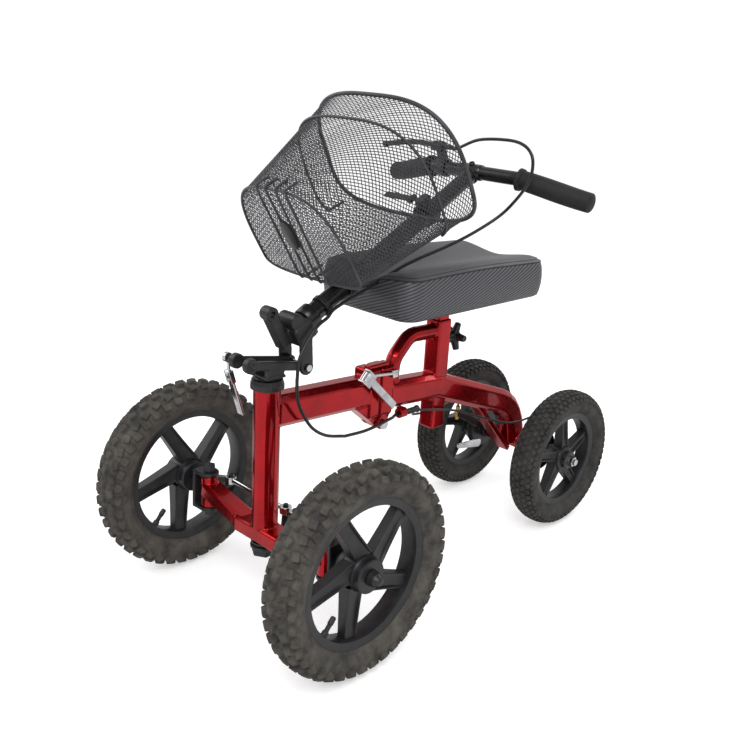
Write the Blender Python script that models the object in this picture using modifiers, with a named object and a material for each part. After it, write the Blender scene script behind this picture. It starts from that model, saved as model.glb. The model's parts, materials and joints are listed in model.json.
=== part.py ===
"""All-terrain knee scooter, folded for carrying: the stem lies back on the knee pad.

Metres, +Z up, the front towards -Y, the rider's left towards +X. Places below are
measured from the point of the ground under the front axle; the empty "scooter"
moves the whole object so that its plan is centred on the origin.
"""
from math import atan2, cos, degrees, hypot, pi, radians, sin, tan

import bmesh
import bpy
from mathutils import Matrix, Vector

# Wheels and stance
wheelbase = 0.6045
frontRadius = 0.155
frontTyreWidth = 0.0548
frontTrack = 0.402
rearRadius = 0.127
rearTyreWidth = 0.048
rearTrack = 0.224
overallLength = frontRadius + wheelbase + rearRadius
frontAxleY = frontRadius - overallLength / 2

# Fits
gap = 0.0003
running = 0.0005
clear = 0.001

# Head and boom
headRadius = 0.020
headBore = 0.017
headTop = 0.358
beamTop = 0.143
beamHeight = 0.025
beamDepth = 0.040
beamHalf = 0.052
kingpinX = 0.138
kingpinRadius = 0.014
kingpinLow = 0.121
kingpinHigh = 0.172
boomWidth = 0.038
boomHeight = 0.047
hingeY = 0.222
hingeZ = 0.2545
hingeFaceY = 0.214
hingeTop = 0.349
hingeBottom = 0.268
hingeHalf = 0.020
lugHalf = 0.010
lugRadius = 0.0095
pinRadius = 0.005

# Rear frame
seatTubeY = 0.3645
seatTubeSize = 0.031
seatTubeLow = 0.212
seatTubeTop = 0.404
postSize = 0.0245
gussetRadius = 0.013
axleTubeRadius = 0.014
axleTubeHalf = 0.052
axleRadius = 0.006

# Knee pad
padLength = 0.343
padWidth = 0.200
padFrontY = 0.177
padLow = 0.442
padTop = 0.500
padRound = 0.028
knobZ = 0.366

# Stem, laid back
stemAngle = radians(28.65)
stemStart = Vector((0.0, 0.0633, 0.4442))
outerLength = 0.298
outerRadius = 0.0143
innerRadius = 0.0127
barAlong = 0.409
innerInside = 0.150
foldY = 0.052
foldZ = 0.3845
knuckleY = -0.043
knuckleZ = 0.402
uprightTurn = radians(47.35)

# Handlebar
barRadius = 0.011
barStraight = 0.085
barHalf = 0.205
barSweepAlong = 0.018
barSweepBack = 0.037
gripRadius = 0.016
gripLength = 0.115

# Basket
basketAngle = radians(32.45)
basketOrigin = Vector((0.0, 0.0719, 0.5244))
basketWall = 0.0025
wireRadius = 0.003

stemDir = Vector((0.0, cos(stemAngle), sin(stemAngle)))
stemUp = Vector((0.0, -sin(stemAngle), cos(stemAngle)))
basketDir = Vector((0.0, cos(basketAngle), sin(basketAngle)))
basketUp = Vector((0.0, -sin(basketAngle), cos(basketAngle)))
xAxis = Vector((1.0, 0.0, 0.0))
yAxis = Vector((0.0, 1.0, 0.0))
zAxis = Vector((0.0, 0.0, 1.0))

for old in list(bpy.data.objects):
    bpy.data.objects.remove(old, do_unlink=True)

scooter = bpy.data.collections.new("knee_scooter")
guides = bpy.data.collections.new("cutters")
bpy.context.scene.collection.children.link(scooter)
bpy.context.scene.collection.children.link(guides)
guides.hide_render = True


# Materials -----------------------------------------------------------------

def material(name, colour, roughness, metallic):
    made = bpy.data.materials.new(name)
    made.use_nodes = True
    shader = made.node_tree.nodes["Principled BSDF"]
    shader.inputs["Base Color"].default_value = (*colour, 1.0)
    shader.inputs["Roughness"].default_value = roughness
    shader.inputs["Metallic"].default_value = metallic
    made.diffuse_color = (*colour, 1.0)
    return made


redPaint = ("red_paint", (0.42, 0.008, 0.02), 0.22, 0.6)
blackPaint = ("black_powder_coat", (0.012, 0.012, 0.013), 0.35, 0.0)
blackPlastic = ("black_plastic", (0.02, 0.02, 0.022), 0.5, 0.0)
chrome = ("polished_steel", (0.72, 0.72, 0.73), 0.15, 1.0)
aluminium = ("brushed_aluminium", (0.78, 0.78, 0.8), 0.35, 1.0)
yellowZinc = ("yellow_zinc", (0.78, 0.62, 0.28), 0.3, 1.0)
tyreRubber = ("tyre_rubber", (0.075, 0.072, 0.068), 0.85, 0.0)
gripRubber = ("grip_rubber", (0.03, 0.03, 0.032), 0.7, 0.0)
padVinyl = ("pad_vinyl", (0.05, 0.052, 0.056), 0.55, 0.0)


# Modelling helpers ---------------------------------------------------------

def fresh(name, mesh):
    made = bpy.data.objects.new(name, mesh)
    scooter.objects.link(made)
    return made


def settled(made):
    """The object with its modifiers and its placing worked into a plain closed mesh."""
    bpy.context.view_layer.update()
    graph = bpy.context.evaluated_depsgraph_get()
    mesh = bpy.data.meshes.new_from_object(made.evaluated_get(graph))
    mesh.transform(made.matrix_world)
    shape = bmesh.new()
    shape.from_mesh(mesh)
    bmesh.ops.remove_doubles(shape, verts=shape.verts, dist=0.00002)
    bmesh.ops.recalc_face_normals(shape, faces=shape.faces)
    shape.to_mesh(mesh)
    shape.free()
    name = made.name
    bpy.data.objects.remove(made, do_unlink=True)
    return fresh(name, mesh)


def turnTo(axis):
    """The turn that takes +Z onto the axis."""
    return zAxis.rotation_difference(Vector(axis)).to_matrix().to_4x4()


def box(name, centre, size, tilt=0.0, bevel=0.0):
    """A block, tilted about X, with rounded edges if bevel is set."""
    shape = bmesh.new()
    bmesh.ops.create_cube(shape, size=1.0)
    bmesh.ops.scale(shape, vec=size, verts=shape.verts)
    mesh = bpy.data.meshes.new(name)
    shape.to_mesh(mesh)
    shape.free()
    made = fresh(name, mesh)
    if bevel:
        rounding = made.modifiers.new("rounding", "BEVEL")
        rounding.width = bevel
        rounding.segments = 1
    made.matrix_world = Matrix.Translation(centre) @ Matrix.Rotation(tilt, 4, "X")
    return settled(made)


def rod(name, start, end, radius, sides=12, endRadius=None):
    """A round bar or cone between two points."""
    start, end = Vector(start), Vector(end)
    shape = bmesh.new()
    bmesh.ops.create_cone(
        shape, cap_ends=True, segments=sides, radius1=radius,
        radius2=radius if endRadius is None else endRadius, depth=(end - start).length)
    mesh = bpy.data.meshes.new(name)
    shape.to_mesh(mesh)
    shape.free()
    made = fresh(name, mesh)
    made.matrix_world = Matrix.Translation((start + end) / 2) @ turnTo(end - start)
    return settled(made)


def turned(name, centre, axis, profile, steps=16, closed=True):
    """A turned piece: the (radius, height) profile swept about the axis."""
    shape = bmesh.new()
    points = [shape.verts.new((radius, 0.0, height)) for radius, height in profile]
    for first, second in zip(points, points[1:]):
        shape.edges.new((first, second))
    if closed:
        shape.edges.new((points[-1], points[0]))
    mesh = bpy.data.meshes.new(name)
    shape.to_mesh(mesh)
    shape.free()
    made = fresh(name, mesh)
    screw = made.modifiers.new("turn", "SCREW")
    screw.axis = "Z"
    screw.steps = steps
    screw.render_steps = steps
    screw.use_merge_vertices = True
    screw.merge_threshold = 0.00001
    made.matrix_world = Matrix.Translation(centre) @ turnTo(axis)
    return settled(made)


def ring(name, centre, axis, inner, outer, length, steps=16):
    half = length / 2
    inner = inner / cos(pi / steps)
    profile = [(outer, half), (outer, -half), (inner, -half), (inner, half)]
    return turned(name, centre, axis, profile, steps)


def roundedPath(corners, radius, steps=4):
    """The corners joined by straight runs, with an arc of the radius at each corner."""
    corners = [Vector(corner) for corner in corners]
    path = [corners[0]]
    for before, corner, after in zip(corners, corners[1:], corners[2:]):
        back, ahead = (before - corner).normalized(), (after - corner).normalized()
        half = back.angle(ahead) / 2
        reach = radius / tan(half)
        bisector = (back + ahead).normalized()
        centre = corner + bisector * (radius / sin(half))
        start, end = corner + back * reach - centre, corner + ahead * reach - centre
        path += [centre + start.slerp(end, step / steps) * radius for step in range(steps + 1)]
    return path + [corners[-1]]


def smoothPath(corners, steps):
    """A smooth curve through the points (Catmull-Rom), for a hanging cable."""
    corners = [Vector(corner) for corner in corners]
    corners = [2 * corners[0] - corners[1]] + corners + [2 * corners[-1] - corners[-2]]
    path = []
    for a, b, c, d in zip(corners, corners[1:], corners[2:], corners[3:]):
        for step in range(steps):
            t = step / steps
            path.append(0.5 * (2 * b + (c - a) * t + (2 * a - 5 * b + 4 * c - d) * t ** 2
                               + (3 * b - a - 3 * c + d) * t ** 3))
    return path + [corners[-2]]


def polyline(name, points, cyclic=False):
    data = bpy.data.curves.new(name, "CURVE")
    data.dimensions = "3D"
    data.use_fill_caps = not cyclic
    spline = data.splines.new("POLY")
    spline.points.add(len(points) - 1)
    for place, point in zip(spline.points, points):
        place.co = (*point, 1.0)
    spline.use_cyclic_u = cyclic
    return fresh(name, data)


def tube(name, points, radius, fineness=2, cyclic=False):
    """A round tube or wire along the points."""
    made = polyline(name, points, cyclic)
    made.data.bevel_depth = radius
    made.data.bevel_resolution = fineness
    return settled(made)


def boom(name, points, width, height, corner):
    """A tube of rounded rectangular section along points of the middle plane."""
    section = bpy.data.curves.new(name + "_section", "CURVE")
    spline = section.splines.new("POLY")
    inX, inY = width / 2 - corner, height / 2 - corner
    outline = []
    for quarter, (sx, sy) in enumerate(((1, 1), (-1, 1), (-1, -1), (1, -1))):
        for step in range(2):
            turn = (quarter + step) * pi / 2
            outline.append((sx * inX + corner * cos(turn), sy * inY + corner * sin(turn)))
    spline.points.add(len(outline) - 1)
    for place, (x, y) in zip(spline.points, outline):
        place.co = (x, y, 0.0, 1.0)
    spline.use_cyclic_u = True
    guide = bpy.data.objects.new(name + "_section", section)
    guides.objects.link(guide)
    made = polyline(name, points)
    made.data.twist_mode = "Z_UP"
    made.data.bevel_mode = "OBJECT"
    made.data.bevel_object = guide
    made = settled(made)
    bpy.data.objects.remove(guide, do_unlink=True)
    return made


def plate(name, outline, low, high):
    """A flat piece in the YZ plane, its (y, z) outline filled from x = low to x = high."""
    data = bpy.data.curves.new(name, "CURVE")
    data.dimensions = "2D"
    data.fill_mode = "BOTH"
    data.extrude = abs(high - low) / 2
    spline = data.splines.new("POLY")
    spline.points.add(len(outline) - 1)
    for place, (y, z) in zip(spline.points, outline):
        place.co = (y, z, 0.0, 1.0)
    spline.use_cyclic_u = True
    made = fresh(name, data)
    across = Matrix(((0, 0, 1, 0), (1, 0, 0, 0), (0, 1, 0, 0), (0, 0, 0, 1)))
    made.matrix_world = Matrix.Translation(((low + high) / 2, 0.0, 0.0)) @ across
    return settled(made)


def rounded(centre, radius, start, end, steps=6):
    """Outline points of an arc in the YZ plane, angles in degrees from +Y."""
    y, z = centre
    span = [radians(start + (end - start) * step / steps) for step in range(steps + 1)]
    return [(y + radius * cos(turn), z + radius * sin(turn)) for turn in span]


def combined(operation, base, others):
    for other in others:
        change = base.modifiers.new(operation.lower(), "BOOLEAN")
        change.operation = operation
        change.object = other
        base = settled(base)
        bpy.data.objects.remove(other, do_unlink=True)
    return base


def welded(base, *others):
    return combined("UNION", base, others)


def cut(base, *cutters):
    return combined("DIFFERENCE", base, cutters)


def mirrored(made, name):
    """The same piece on the other side of the middle plane."""
    mesh = made.data.copy()
    mesh.transform(Matrix.Scale(-1, 4, xAxis))
    mesh.flip_normals()
    return fresh(name, mesh)


# Bodies --------------------------------------------------------------------

bodies = {}


def body(name, pivot, parent="scooter"):
    """An empty on the body's joint axis, under its parent's."""
    empty = bpy.data.objects.new(name + "_pivot", None)
    empty.empty_display_size = 0.03
    scooter.objects.link(empty)
    pivot = Vector(pivot)
    if name != "scooter":
        empty.parent = bodies[parent][0]
        empty.location = pivot - bodies[parent][1]
    else:
        empty.location = (0.0, frontAxleY, 0.0)
    bodies[name] = (empty, pivot)


def fit(made, bodyName, finish, soften=True):
    """Hangs a finished piece on its body, with its material and shading."""
    empty, pivot = bodies[bodyName]
    made.data.transform(Matrix.Translation(-pivot))
    made.parent = empty
    name, colour, roughness, metallic = finish
    look = material(made.name + "_" + name, colour, roughness, metallic)
    made.data.materials.clear()
    made.data.materials.append(look)
    if soften:
        made.data.shade_smooth()
        made.data.set_sharp_from_angle(angle=radians(40))


def onStem(along, up=0.0, x=0.0):
    return stemStart + stemDir * along + stemUp * up + xAxis * x


def onBasket(along, up=0.0, x=0.0):
    return basketOrigin + basketDir * along + basketUp * up + xAxis * x


# Wheels --------------------------------------------------------------------

def tyreProfile(radius, width, seat):
    half = width / 2
    rim = 0.62 * half
    middle = seat + 0.42 * (radius - seat)
    shoulder = radius - 0.16 * (radius - seat)
    side = [(seat, rim), (seat + 0.006, rim + 0.003), (middle, half),
            (shoulder, 0.86 * half), (radius, 0.42 * half)]
    return side + [(r, -x) for r, x in reversed(side)]


def wheel(end, side, sign, axleY, radius, width, trackHalf, seat, bodyName):
    """Tyre and five-spoke rim with its hub, on one wheel body."""
    centre = Vector((sign * trackHalf, axleY, radius))
    tyre = turned(f"{end}_tyre_{side}", centre, xAxis, tyreProfile(radius, width, seat), 24)
    fit(tyre, bodyName, tyreRubber)
    rimHalf = 0.62 * width / 2
    rimOuter = seat - gap
    rimInner = seat - 0.015
    hubRadius = 0.024
    hubHalf = 0.024
    bore = axleRadius + running
    rim = ring(f"{end}_rim_{side}", centre, xAxis, rimInner, rimOuter, 2 * rimHalf, 24)
    hub = ring("hub", centre, xAxis, bore, hubRadius, 2 * hubHalf, 12)
    spokes = []
    reach = rimInner + 0.004 - (hubRadius - 0.004)
    middle = (rimInner + 0.004 + hubRadius - 0.004) / 2
    for number in range(5):
        turn = radians(90 + 72 * number)
        place = centre + Vector((0.0, middle * cos(turn), middle * sin(turn)))
        spoke = box("spoke", place, (0.018, reach, 0.020), turn)
        spokes.append(spoke)
    fit(welded(rim, hub, *spokes), bodyName, blackPlastic)


def wheels():
    frontSeat, rearSeat = 0.1095, 0.0885
    for side, sign in (("L", 1), ("R", -1)):
        wheel("front", side, sign, 0.0, frontRadius, frontTyreWidth, frontTrack / 2,
              frontSeat, "front_wheel_" + side)
        wheel("rear", side, sign, wheelbase, rearRadius, rearTyreWidth, rearTrack / 2,
              rearSeat, "rear_wheel_" + side)


# Front frame ---------------------------------------------------------------

def frontFrame():
    """Head tube, boom, cross beam with kingpin tubes and the front half of the fold."""
    head = rod("front_frame", (0, 0, beamTop - 0.004), (0, 0, headTop), headRadius, 16)
    boomPath = [(0, 0.010, 0.3215), (0, hingeFaceY - 0.012, 0.3115)]
    topTube = boom("top", boomPath, boomWidth, boomHeight + 0.003, 0.009)
    beamMiddle = beamTop - beamHeight / 2
    beam = box("beam", (0, 0, beamMiddle), (2 * beamHalf, beamDepth, beamHeight), 0, 0.003)
    arms, pins = [], []
    for sign in (1, -1):
        armPath = [(sign * (beamHalf - 0.008), 0, beamMiddle),
                   (sign * kingpinX, 0, (kingpinLow + kingpinHigh) / 2 + 0.004)]
        arms.append(boom("arm", armPath, 0.032, 0.026, 0.004))
        arms.append(rod("kingpin_tube", (sign * kingpinX, 0, kingpinLow),
                        (sign * kingpinX, 0, kingpinHigh), kingpinRadius, 12))
        pins.append(rod("kingpin_bore", (sign * kingpinX, 0, kingpinLow - 0.01),
                        (sign * kingpinX, 0, kingpinHigh + 0.01), 0.0060 + running, 12))
    blockY = hingeFaceY - gap - 0.012
    block = box("hinge_block", (0, blockY, (hingeTop + hingeBottom) / 2),
                (2 * hingeHalf, 0.024, hingeTop - hingeBottom), 0, 0.003)
    flange = plate("flange", [(0.166, 0.290), (0.200, 0.290), (0.2135, 0.272), (0.2135, 0.262),
                              (0.203, 0.259)], -0.016, 0.016)
    lug = plate("lug", [(0.2025, 0.274), (0.2025, 0.262)]
                + rounded((hingeY, hingeZ), lugRadius, -120, 90, 8), -lugHalf, lugHalf)
    bore = rod("head_bore", (0, 0, beamTop - 0.002), (0, 0, headTop + 0.01), headBore, 16)
    through = rod("steerer_bore", (0, 0, 0.09), (0, 0, beamTop + 0.01), 0.0148, 16)
    pinHole = rod("pin_bore", (-0.03, hingeY, hingeZ), (0.03, hingeY, hingeZ),
                  pinRadius + gap, 10)
    frame = welded(head, topTube, beam, *arms, block, flange, lug)
    fit(cut(frame, bore, through, pinHole, *pins), "front_frame", redPaint)


def headset():
    upper = [(0.0245, headTop + gap), (0.0245, headTop + 0.008), (0.0225, headTop + 0.014),
             (0.0148, headTop + 0.014), (0.0148, headTop - 0.012), (headBore - gap, headTop - 0.012),
             (headBore - gap, headTop + gap)]
    fit(turned("headset_cup_upper", (0, 0, 0), zAxis, upper), "front_frame", blackPaint)
    low = beamTop - beamHeight
    lower = [(0.0205, low - gap), (0.0190, low - 0.005), (0.0148, low - 0.005), (0.0148, low - gap)]
    fit(turned("headset_cup_lower", (0, 0, 0), zAxis, lower), "front_frame", blackPaint)


# Steering ------------------------------------------------------------------

tieY = 0.050
tieZ = 0.146
tieOffset = 0.011
rodEndRadius = 0.0095
rodEndHeight = 0.012
armThickness = 0.006
studRadius = 0.0040
pitmanLow = 0.1060
saddleLow = 0.3755
saddleFloor = 0.0040
cheekIn = 0.0105
cheekOut = 0.0205


def steerer():
    """Steerer tube with the pitman arm that drives both tie rods."""
    tubePiece = rod("steerer", (0, 0, 0.096), (0, 0, saddleLow - gap), 0.0143, 16)
    crown = turned("crown", (0, 0, 0), zAxis,
                   [(0.0, saddleLow - gap), (0.0160, saddleLow - gap),
                    (0.0205, headTop + 0.014 + gap), (0.0, headTop + 0.014 + gap)], 16, False)
    plateTop = pitmanLow + armThickness
    arm = box("arm", (0, 0.026, (pitmanLow + plateTop) / 2),
              (0.044, 0.070, armThickness), 0, 0.002)
    seat = ring("seat", (0, 0, (pitmanLow + plateTop) / 2), zAxis, 0.010, 0.0212, armThickness - clear)
    posts = []
    for sign in (1, -1):
        x = sign * tieOffset
        top = tieZ - rodEndHeight / 2 - gap
        posts.append(rod("boot", (x, tieY, pitmanLow + 0.002), (x, tieY, top), 0.0075, 14, 0.0055))
        posts.append(rod("stud", (x, tieY, pitmanLow + 0.002),
                         (x, tieY, tieZ + rodEndHeight / 2 + 0.004), studRadius, 10))
    nut = rod("nut", (0, 0, 0.0955), (0, 0, pitmanLow + 0.001), 0.0195, 6)
    fit(welded(tubePiece, crown, seat, arm, nut, *posts), "steerer", blackPaint)


def stemBase():
    """Saddle on the steerer whose two cheeks carry the fold pin and the latch knuckles."""
    slope = atan2(foldZ - knuckleZ, foldY - knuckleY)
    length = hypot(foldZ - knuckleZ, foldY - knuckleY)
    midY, midZ = (foldY + knuckleY) / 2, (foldZ + knuckleZ) / 2
    floor = box("stem_base", (0, 0, saddleLow + saddleFloor / 2), (2 * cheekOut, 0.034, saddleFloor))
    pieces = []
    for sign in (1, -1):
        x = sign * (cheekIn + cheekOut) / 2
        wide = cheekOut - cheekIn
        pieces.append(box("cheek", (x, midY, midZ), (wide - clear, length, 0.013), slope, 0.0015))
        pieces.append(box("web", (x, 0, 0.3862), (wide - 2 * clear, 0.030, 0.021)))
        for y, z, radius in ((foldY, foldZ, 0.0095), (knuckleY, knuckleZ, 0.011)):
            ends = (x - wide / 2, y, z), (x + wide / 2, y, z)
            pieces.append(rod("knuckle", *ends, radius, 12))
    foldBore = rod("bore", (-0.04, foldY, foldZ), (0.04, foldY, foldZ), pinRadius + gap, 10)
    latchPins = [rod("latch_pin", (start, knuckleY, knuckleZ), (end, knuckleY, knuckleZ), 0.0040, 10)
                 for start, end in ((cheekIn + 0.001, 0.0245), (-0.0400, -cheekIn - 0.001))]
    fit(welded(cut(welded(floor, *pieces), foldBore), *latchPins), "steerer", blackPaint)
    pin = rod("stem_fold_pin", (-0.0300, foldY, foldZ), (0.0300, foldY, foldZ), pinRadius, 10)
    fit(pin, "steerer", chrome)


def knuckleParts(side, sign):
    """C bracket round the kingpin tube, with its stub axle and steering arm."""
    x = kingpinX
    plateX = 0.1585
    low, high = kingpinLow - clear - armThickness, kingpinHigh + clear
    wall = box("knuckle_" + side, (plateX, 0, (low + high + armThickness) / 2),
               (0.006, 0.034, high + armThickness - low), 0, 0.0015)
    ears = [box("ear", ((x + plateX) / 2, 0, z + armThickness / 2),
                (plateX - x + 0.004, 0.030, armThickness)) for z in (low, high)]
    ends = [rod("ear_end", (x, 0, z), (x, 0, z + armThickness), 0.015, 12) for z in (low, high)]
    axle = rod("stub_axle", (plateX, 0, frontRadius), (frontTrack / 2 + 0.034, 0, frontRadius),
               axleRadius, 10)
    tieX = x + tieOffset
    armZ = tieZ - rodEndHeight / 2 - gap - armThickness / 2
    root = box("root", (plateX - 0.0018, 0.0190, armZ), (0.0070, 0.0340, armThickness))
    arm = box("arm", (tieX + 0.003, tieY - 0.005, armZ), (0.014, 0.026, armThickness - clear), 0, 0.0015)
    stud = rod("stud", (tieX, tieY, armZ), (tieX, tieY, tieZ + rodEndHeight / 2 + 0.004),
               studRadius, 10)
    bore = rod("bore", (x, 0, low - 0.01), (x, 0, high + 0.02), 0.0060 + gap, 12)
    bracket = cut(welded(wall, *ears, *ends, axle, root, arm, stud), bore)
    pin = rod("kingpin_" + side, (x, 0, low - 0.008), (x, 0, high + armThickness + 0.003), 0.0060, 10)
    head = rod("head", (x, 0, high + armThickness + gap), (x, 0, high + armThickness + 0.011), 0.0095, 6)
    washer = rod("washer", (x, 0, low - 0.008), (x, 0, low - gap), 0.0095, 6)
    cap = turned("axle_cap_" + side, (frontTrack / 2, 0, frontRadius), xAxis,
                 [(0.0, 0.0425), (0.006, 0.0410), (0.0100, 0.0350), (0.0120, 0.0250),
                  (axleRadius + gap, 0.0250), (axleRadius + gap, 0.0345), (0.0, 0.0345)], 12, False)
    made = [bracket, welded(pin, head, washer), cap]
    if sign < 0:
        names = [piece.name for piece in made]
        for piece in made:
            piece.name = piece.name + "_left"
        flipped = [mirrored(piece, name) for piece, name in zip(made, names)]
        for piece in made:
            bpy.data.objects.remove(piece, do_unlink=True)
        made = flipped
    for piece, finish in zip(made, (blackPaint, blackPlastic, blackPlastic)):
        fit(piece, "knuckle_body_" + side, finish)


def tieRod(side, sign):
    """Ball-joint rod between the pitman arm and one knuckle, equal and parallel offsets."""
    inner = Vector((sign * tieOffset, tieY, tieZ))
    outer = Vector((sign * (kingpinX + tieOffset), tieY, tieZ))
    eyes = [ring("tie_rod_" + side, place, zAxis, studRadius + running, rodEndRadius,
                 rodEndHeight, 12) for place in (inner, outer)]
    away = xAxis * sign * (rodEndRadius - 0.002)
    shaft = rod("shaft", inner + away, outer - away, 0.0045, 10)
    fit(welded(eyes[0], shaft, eyes[1]), "tie_rod_body_" + side, chrome)


# Rear frame ----------------------------------------------------------------

boomRearPath = [(0, hingeFaceY + 0.012, 0.2985), (0, 0.360, 0.2880), (0, 0.592, 0.2016),
                (0, wheelbase, rearRadius)]


def rearFrame():
    """Rear boom and its arch to the axle, seat tube, gusset tube, strut and axle tube."""
    path = [Vector(boomRearPath[0]), Vector(boomRearPath[1])]
    path += roundedPath(boomRearPath[1:], 0.085, 5)[1:]
    spine = boom("rear_frame", path, boomWidth, boomHeight - 0.001, 0.009)
    seatTube = box("seat_tube", (0, seatTubeY, (seatTubeLow + seatTubeTop) / 2),
                   (seatTubeSize, seatTubeSize, seatTubeTop - seatTubeLow), 0, 0.002)
    gusset = tube("gusset", roundedPath(
        [(0, 0.254, 0.305), (0, 0.258, 0.352), (0, 0.292, 0.386), (0, 0.352, 0.384)], 0.030, 3),
        gussetRadius, 3)
    strut = box("strut", (0, 0.531, 0.172), (0.026, 0.158, 0.010), atan2(0.112 - 0.228, 0.108))
    crossTube = rod("axle_tube", (-axleTubeHalf, wheelbase, rearRadius),
                    (axleTubeHalf, wheelbase, rearRadius), axleTubeRadius, 12)
    block = box("hinge_block", (0, hingeFaceY + gap + 0.0145, (hingeTop + hingeBottom) / 2),
                (2 * hingeHalf, 0.029, hingeTop - hingeBottom), 0, 0.003)
    lugs = []
    for sign in (1, -1):
        low, high = sorted((sign * (lugHalf + running), sign * (hingeHalf - clear)))
        lugs.append(plate("lug", [(0.240, 0.274)] + [(0.216, 0.274)]
                          + rounded((hingeY, hingeZ), lugRadius, 180, 340, 8), low, high))
    frame = welded(spine, seatTube, gusset, strut, crossTube, block, *lugs)
    postHole = box("post_bore", (0, seatTubeY, 0.3725), (postSize + 2 * gap, postSize + 2 * gap, 0.085))
    knobHole = rod("knob_bore", (0, seatTubeY, knobZ), (0, 0.42, knobZ), 0.0040 + gap, 10)
    axleHole = rod("axle_bore", (-0.08, wheelbase, rearRadius), (0.08, wheelbase, rearRadius),
                   axleRadius + gap, 12)
    pinHole = rod("pin_bore", (-0.03, hingeY, hingeZ), (0.03, hingeY, hingeZ), pinRadius + gap, 10)
    fit(cut(frame, postHole, knobHole, axleHole, pinHole), "rear_frame", redPaint)

    pin = rod("frame_fold_pin", (-0.0245, hingeY, hingeZ), (0.0245, hingeY, hingeZ), pinRadius, 10)
    heads = [rod("head", (sign * (hingeHalf + gap), hingeY, hingeZ),
                 (sign * 0.0245, hingeY, hingeZ), 0.0080, 6) for sign in (1, -1)]
    fit(welded(pin, *heads), "rear_frame", chrome)
    axle = rod("rear_axle", (-0.149, wheelbase, rearRadius), (0.149, wheelbase, rearRadius),
               axleRadius, 10)
    nuts = [rod("nut", (sign * (rearTrack / 2 + 0.024 + running), wheelbase, rearRadius),
                (sign * (rearTrack / 2 + 0.0325), wheelbase, rearRadius), 0.0095, 6)
            for sign in (1, -1)]
    fit(welded(axle, *nuts), "rear_frame", chrome)


def cableBoss():
    boss = ring("cable_boss", (0.0148, 0.270, 0.2620), yAxis, 0.0036, 0.0085, 0.016, 10)
    tab = box("tab", (0.0100, 0.270, 0.2689), (0.0060, 0.010, 0.0048))
    fit(welded(boss, tab), "rear_frame", redPaint)


# Rear brakes ---------------------------------------------------------------

drumIn = 0.0665
armReach = 0.088


def rearBrake(side, sign):
    """Band brake: backing plate with the adjuster bracket, and the drum on the wheel.

    Both units are the same part, so the arm points forward on one side and back on the other.
    """
    facing = -1 if sign < 0 else 1
    centre = Vector((0, wheelbase, rearRadius))
    spacer = ring("rear_brake_plate_" + side, centre + xAxis * sign * 0.0595, xAxis,
                  axleRadius + gap, 0.0165, 0.0140, 12)
    backing = ring("backing", centre + xAxis * sign * (drumIn + 0.0010), xAxis,
                   axleRadius + gap, 0.0370, 0.0030, 18)
    lipRing = ring("lip", centre + xAxis * sign * (drumIn + 0.0055), xAxis, 0.0350, 0.0370, 0.0100, 18)
    bracket = box("bracket", centre + Vector((sign * 0.0610, facing * 0.058, 0.036)),
                  (0.0030, 0.070, 0.016), facing * radians(30))
    link = box("link", centre + Vector((sign * 0.0635, facing * 0.032, 0.020)),
               (0.0080, 0.016, 0.014), facing * radians(30))
    fit(welded(spacer, backing, lipRing, link, bracket), "rear_frame", blackPaint)
    barrelAt = centre + Vector((sign * 0.0665, facing * 0.086, 0.052))
    barrel = ring("rear_brake_adjuster_" + side, barrelAt, zAxis, 0.0028, 0.0040, 0.026, 10)
    collar = box("collar", barrelAt + Vector((-sign * 0.001, 0, 0)), (0.0060, 0.010, 0.010))
    bore = rod("bore", barrelAt - zAxis * 0.03, barrelAt + zAxis * 0.03, 0.0028, 10)
    fit(cut(welded(barrel, collar), bore), "rear_frame", yellowZinc)

    pivot = centre + Vector((sign * 0.0545, facing * 0.030, -0.020))
    tip = centre + Vector((sign * 0.0545, facing * armReach, -0.012))
    thickness = 0.003
    low, high = sorted((sign * 0.0530, sign * (0.0530 + thickness)))
    lean = degrees(atan2(tip.z - pivot.z, tip.y - pivot.y))
    outline = (rounded((pivot.y, pivot.z), 0.0085, lean + 90, lean + 270)
               + rounded((tip.y, tip.z), 0.0050, lean - 90, lean + 90))
    arm = plate("rear_brake_arm_" + side, outline, low, high)
    stud = rod("stud", (sign * 0.0545, pivot.y, pivot.z), (sign * (drumIn - 0.0010), pivot.y, pivot.z),
               0.0040, 10)
    fit(welded(arm, stud), "brake_arm_" + side, aluminium)


# Seat ----------------------------------------------------------------------

def seat():
    top = padLow - gap
    post = box("seat_post", (0, seatTubeY, (0.345 + top - 0.004) / 2),
               (postSize, postSize, top - 0.004 - 0.345), 0, 0.0015)
    fit(post, "seat", redPaint)
    carrier = box("seat_plate", (0, seatTubeY - 0.010, top - 0.002 + gap / 2),
                  (0.110, 0.180, 0.004 - 2 * gap), 0, 0)
    fit(carrier, "seat", blackPaint, False)
    pad = box("knee_pad", (0, padFrontY + padLength / 2, (padLow + padTop) / 2),
              (padWidth, padLength, padTop - padLow), 0, padRound)
    fit(pad, "seat", padVinyl)


def seatKnob():
    """Five-lobed hand knob on a screw through the back of the seat tube."""
    wallY = seatTubeY + seatTubeSize / 2
    hub = rod("seat_knob", (0, wallY + 0.0008, knobZ), (0, wallY + 0.034, knobZ), 0.0105, 20, 0.0095)
    lobes = []
    for number in range(5):
        turn = radians(90 + 72 * number)
        away = Vector((sin(turn), 0, cos(turn)))
        middle = Vector((0, wallY + 0.026, knobZ))
        lobes.append(rod("lobe", middle + away * 0.004, middle + away * 0.0245, 0.0080, 10, 0.0055))
    innerEnd = seatTubeY + postSize / 2 + 2 * gap
    screw = rod("screw", (0, innerEnd, knobZ), (0, wallY + 0.010, knobZ), 0.0040, 10)
    fit(welded(hub, *lobes, screw), "seat_knob_body", blackPlastic)


# Fold latch of the frame ---------------------------------------------------

latchPivot = Vector((0.0262, 0.1680, 0.3480))
latchTip = Vector((0.0262, 0.2300, 0.2890))


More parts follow.
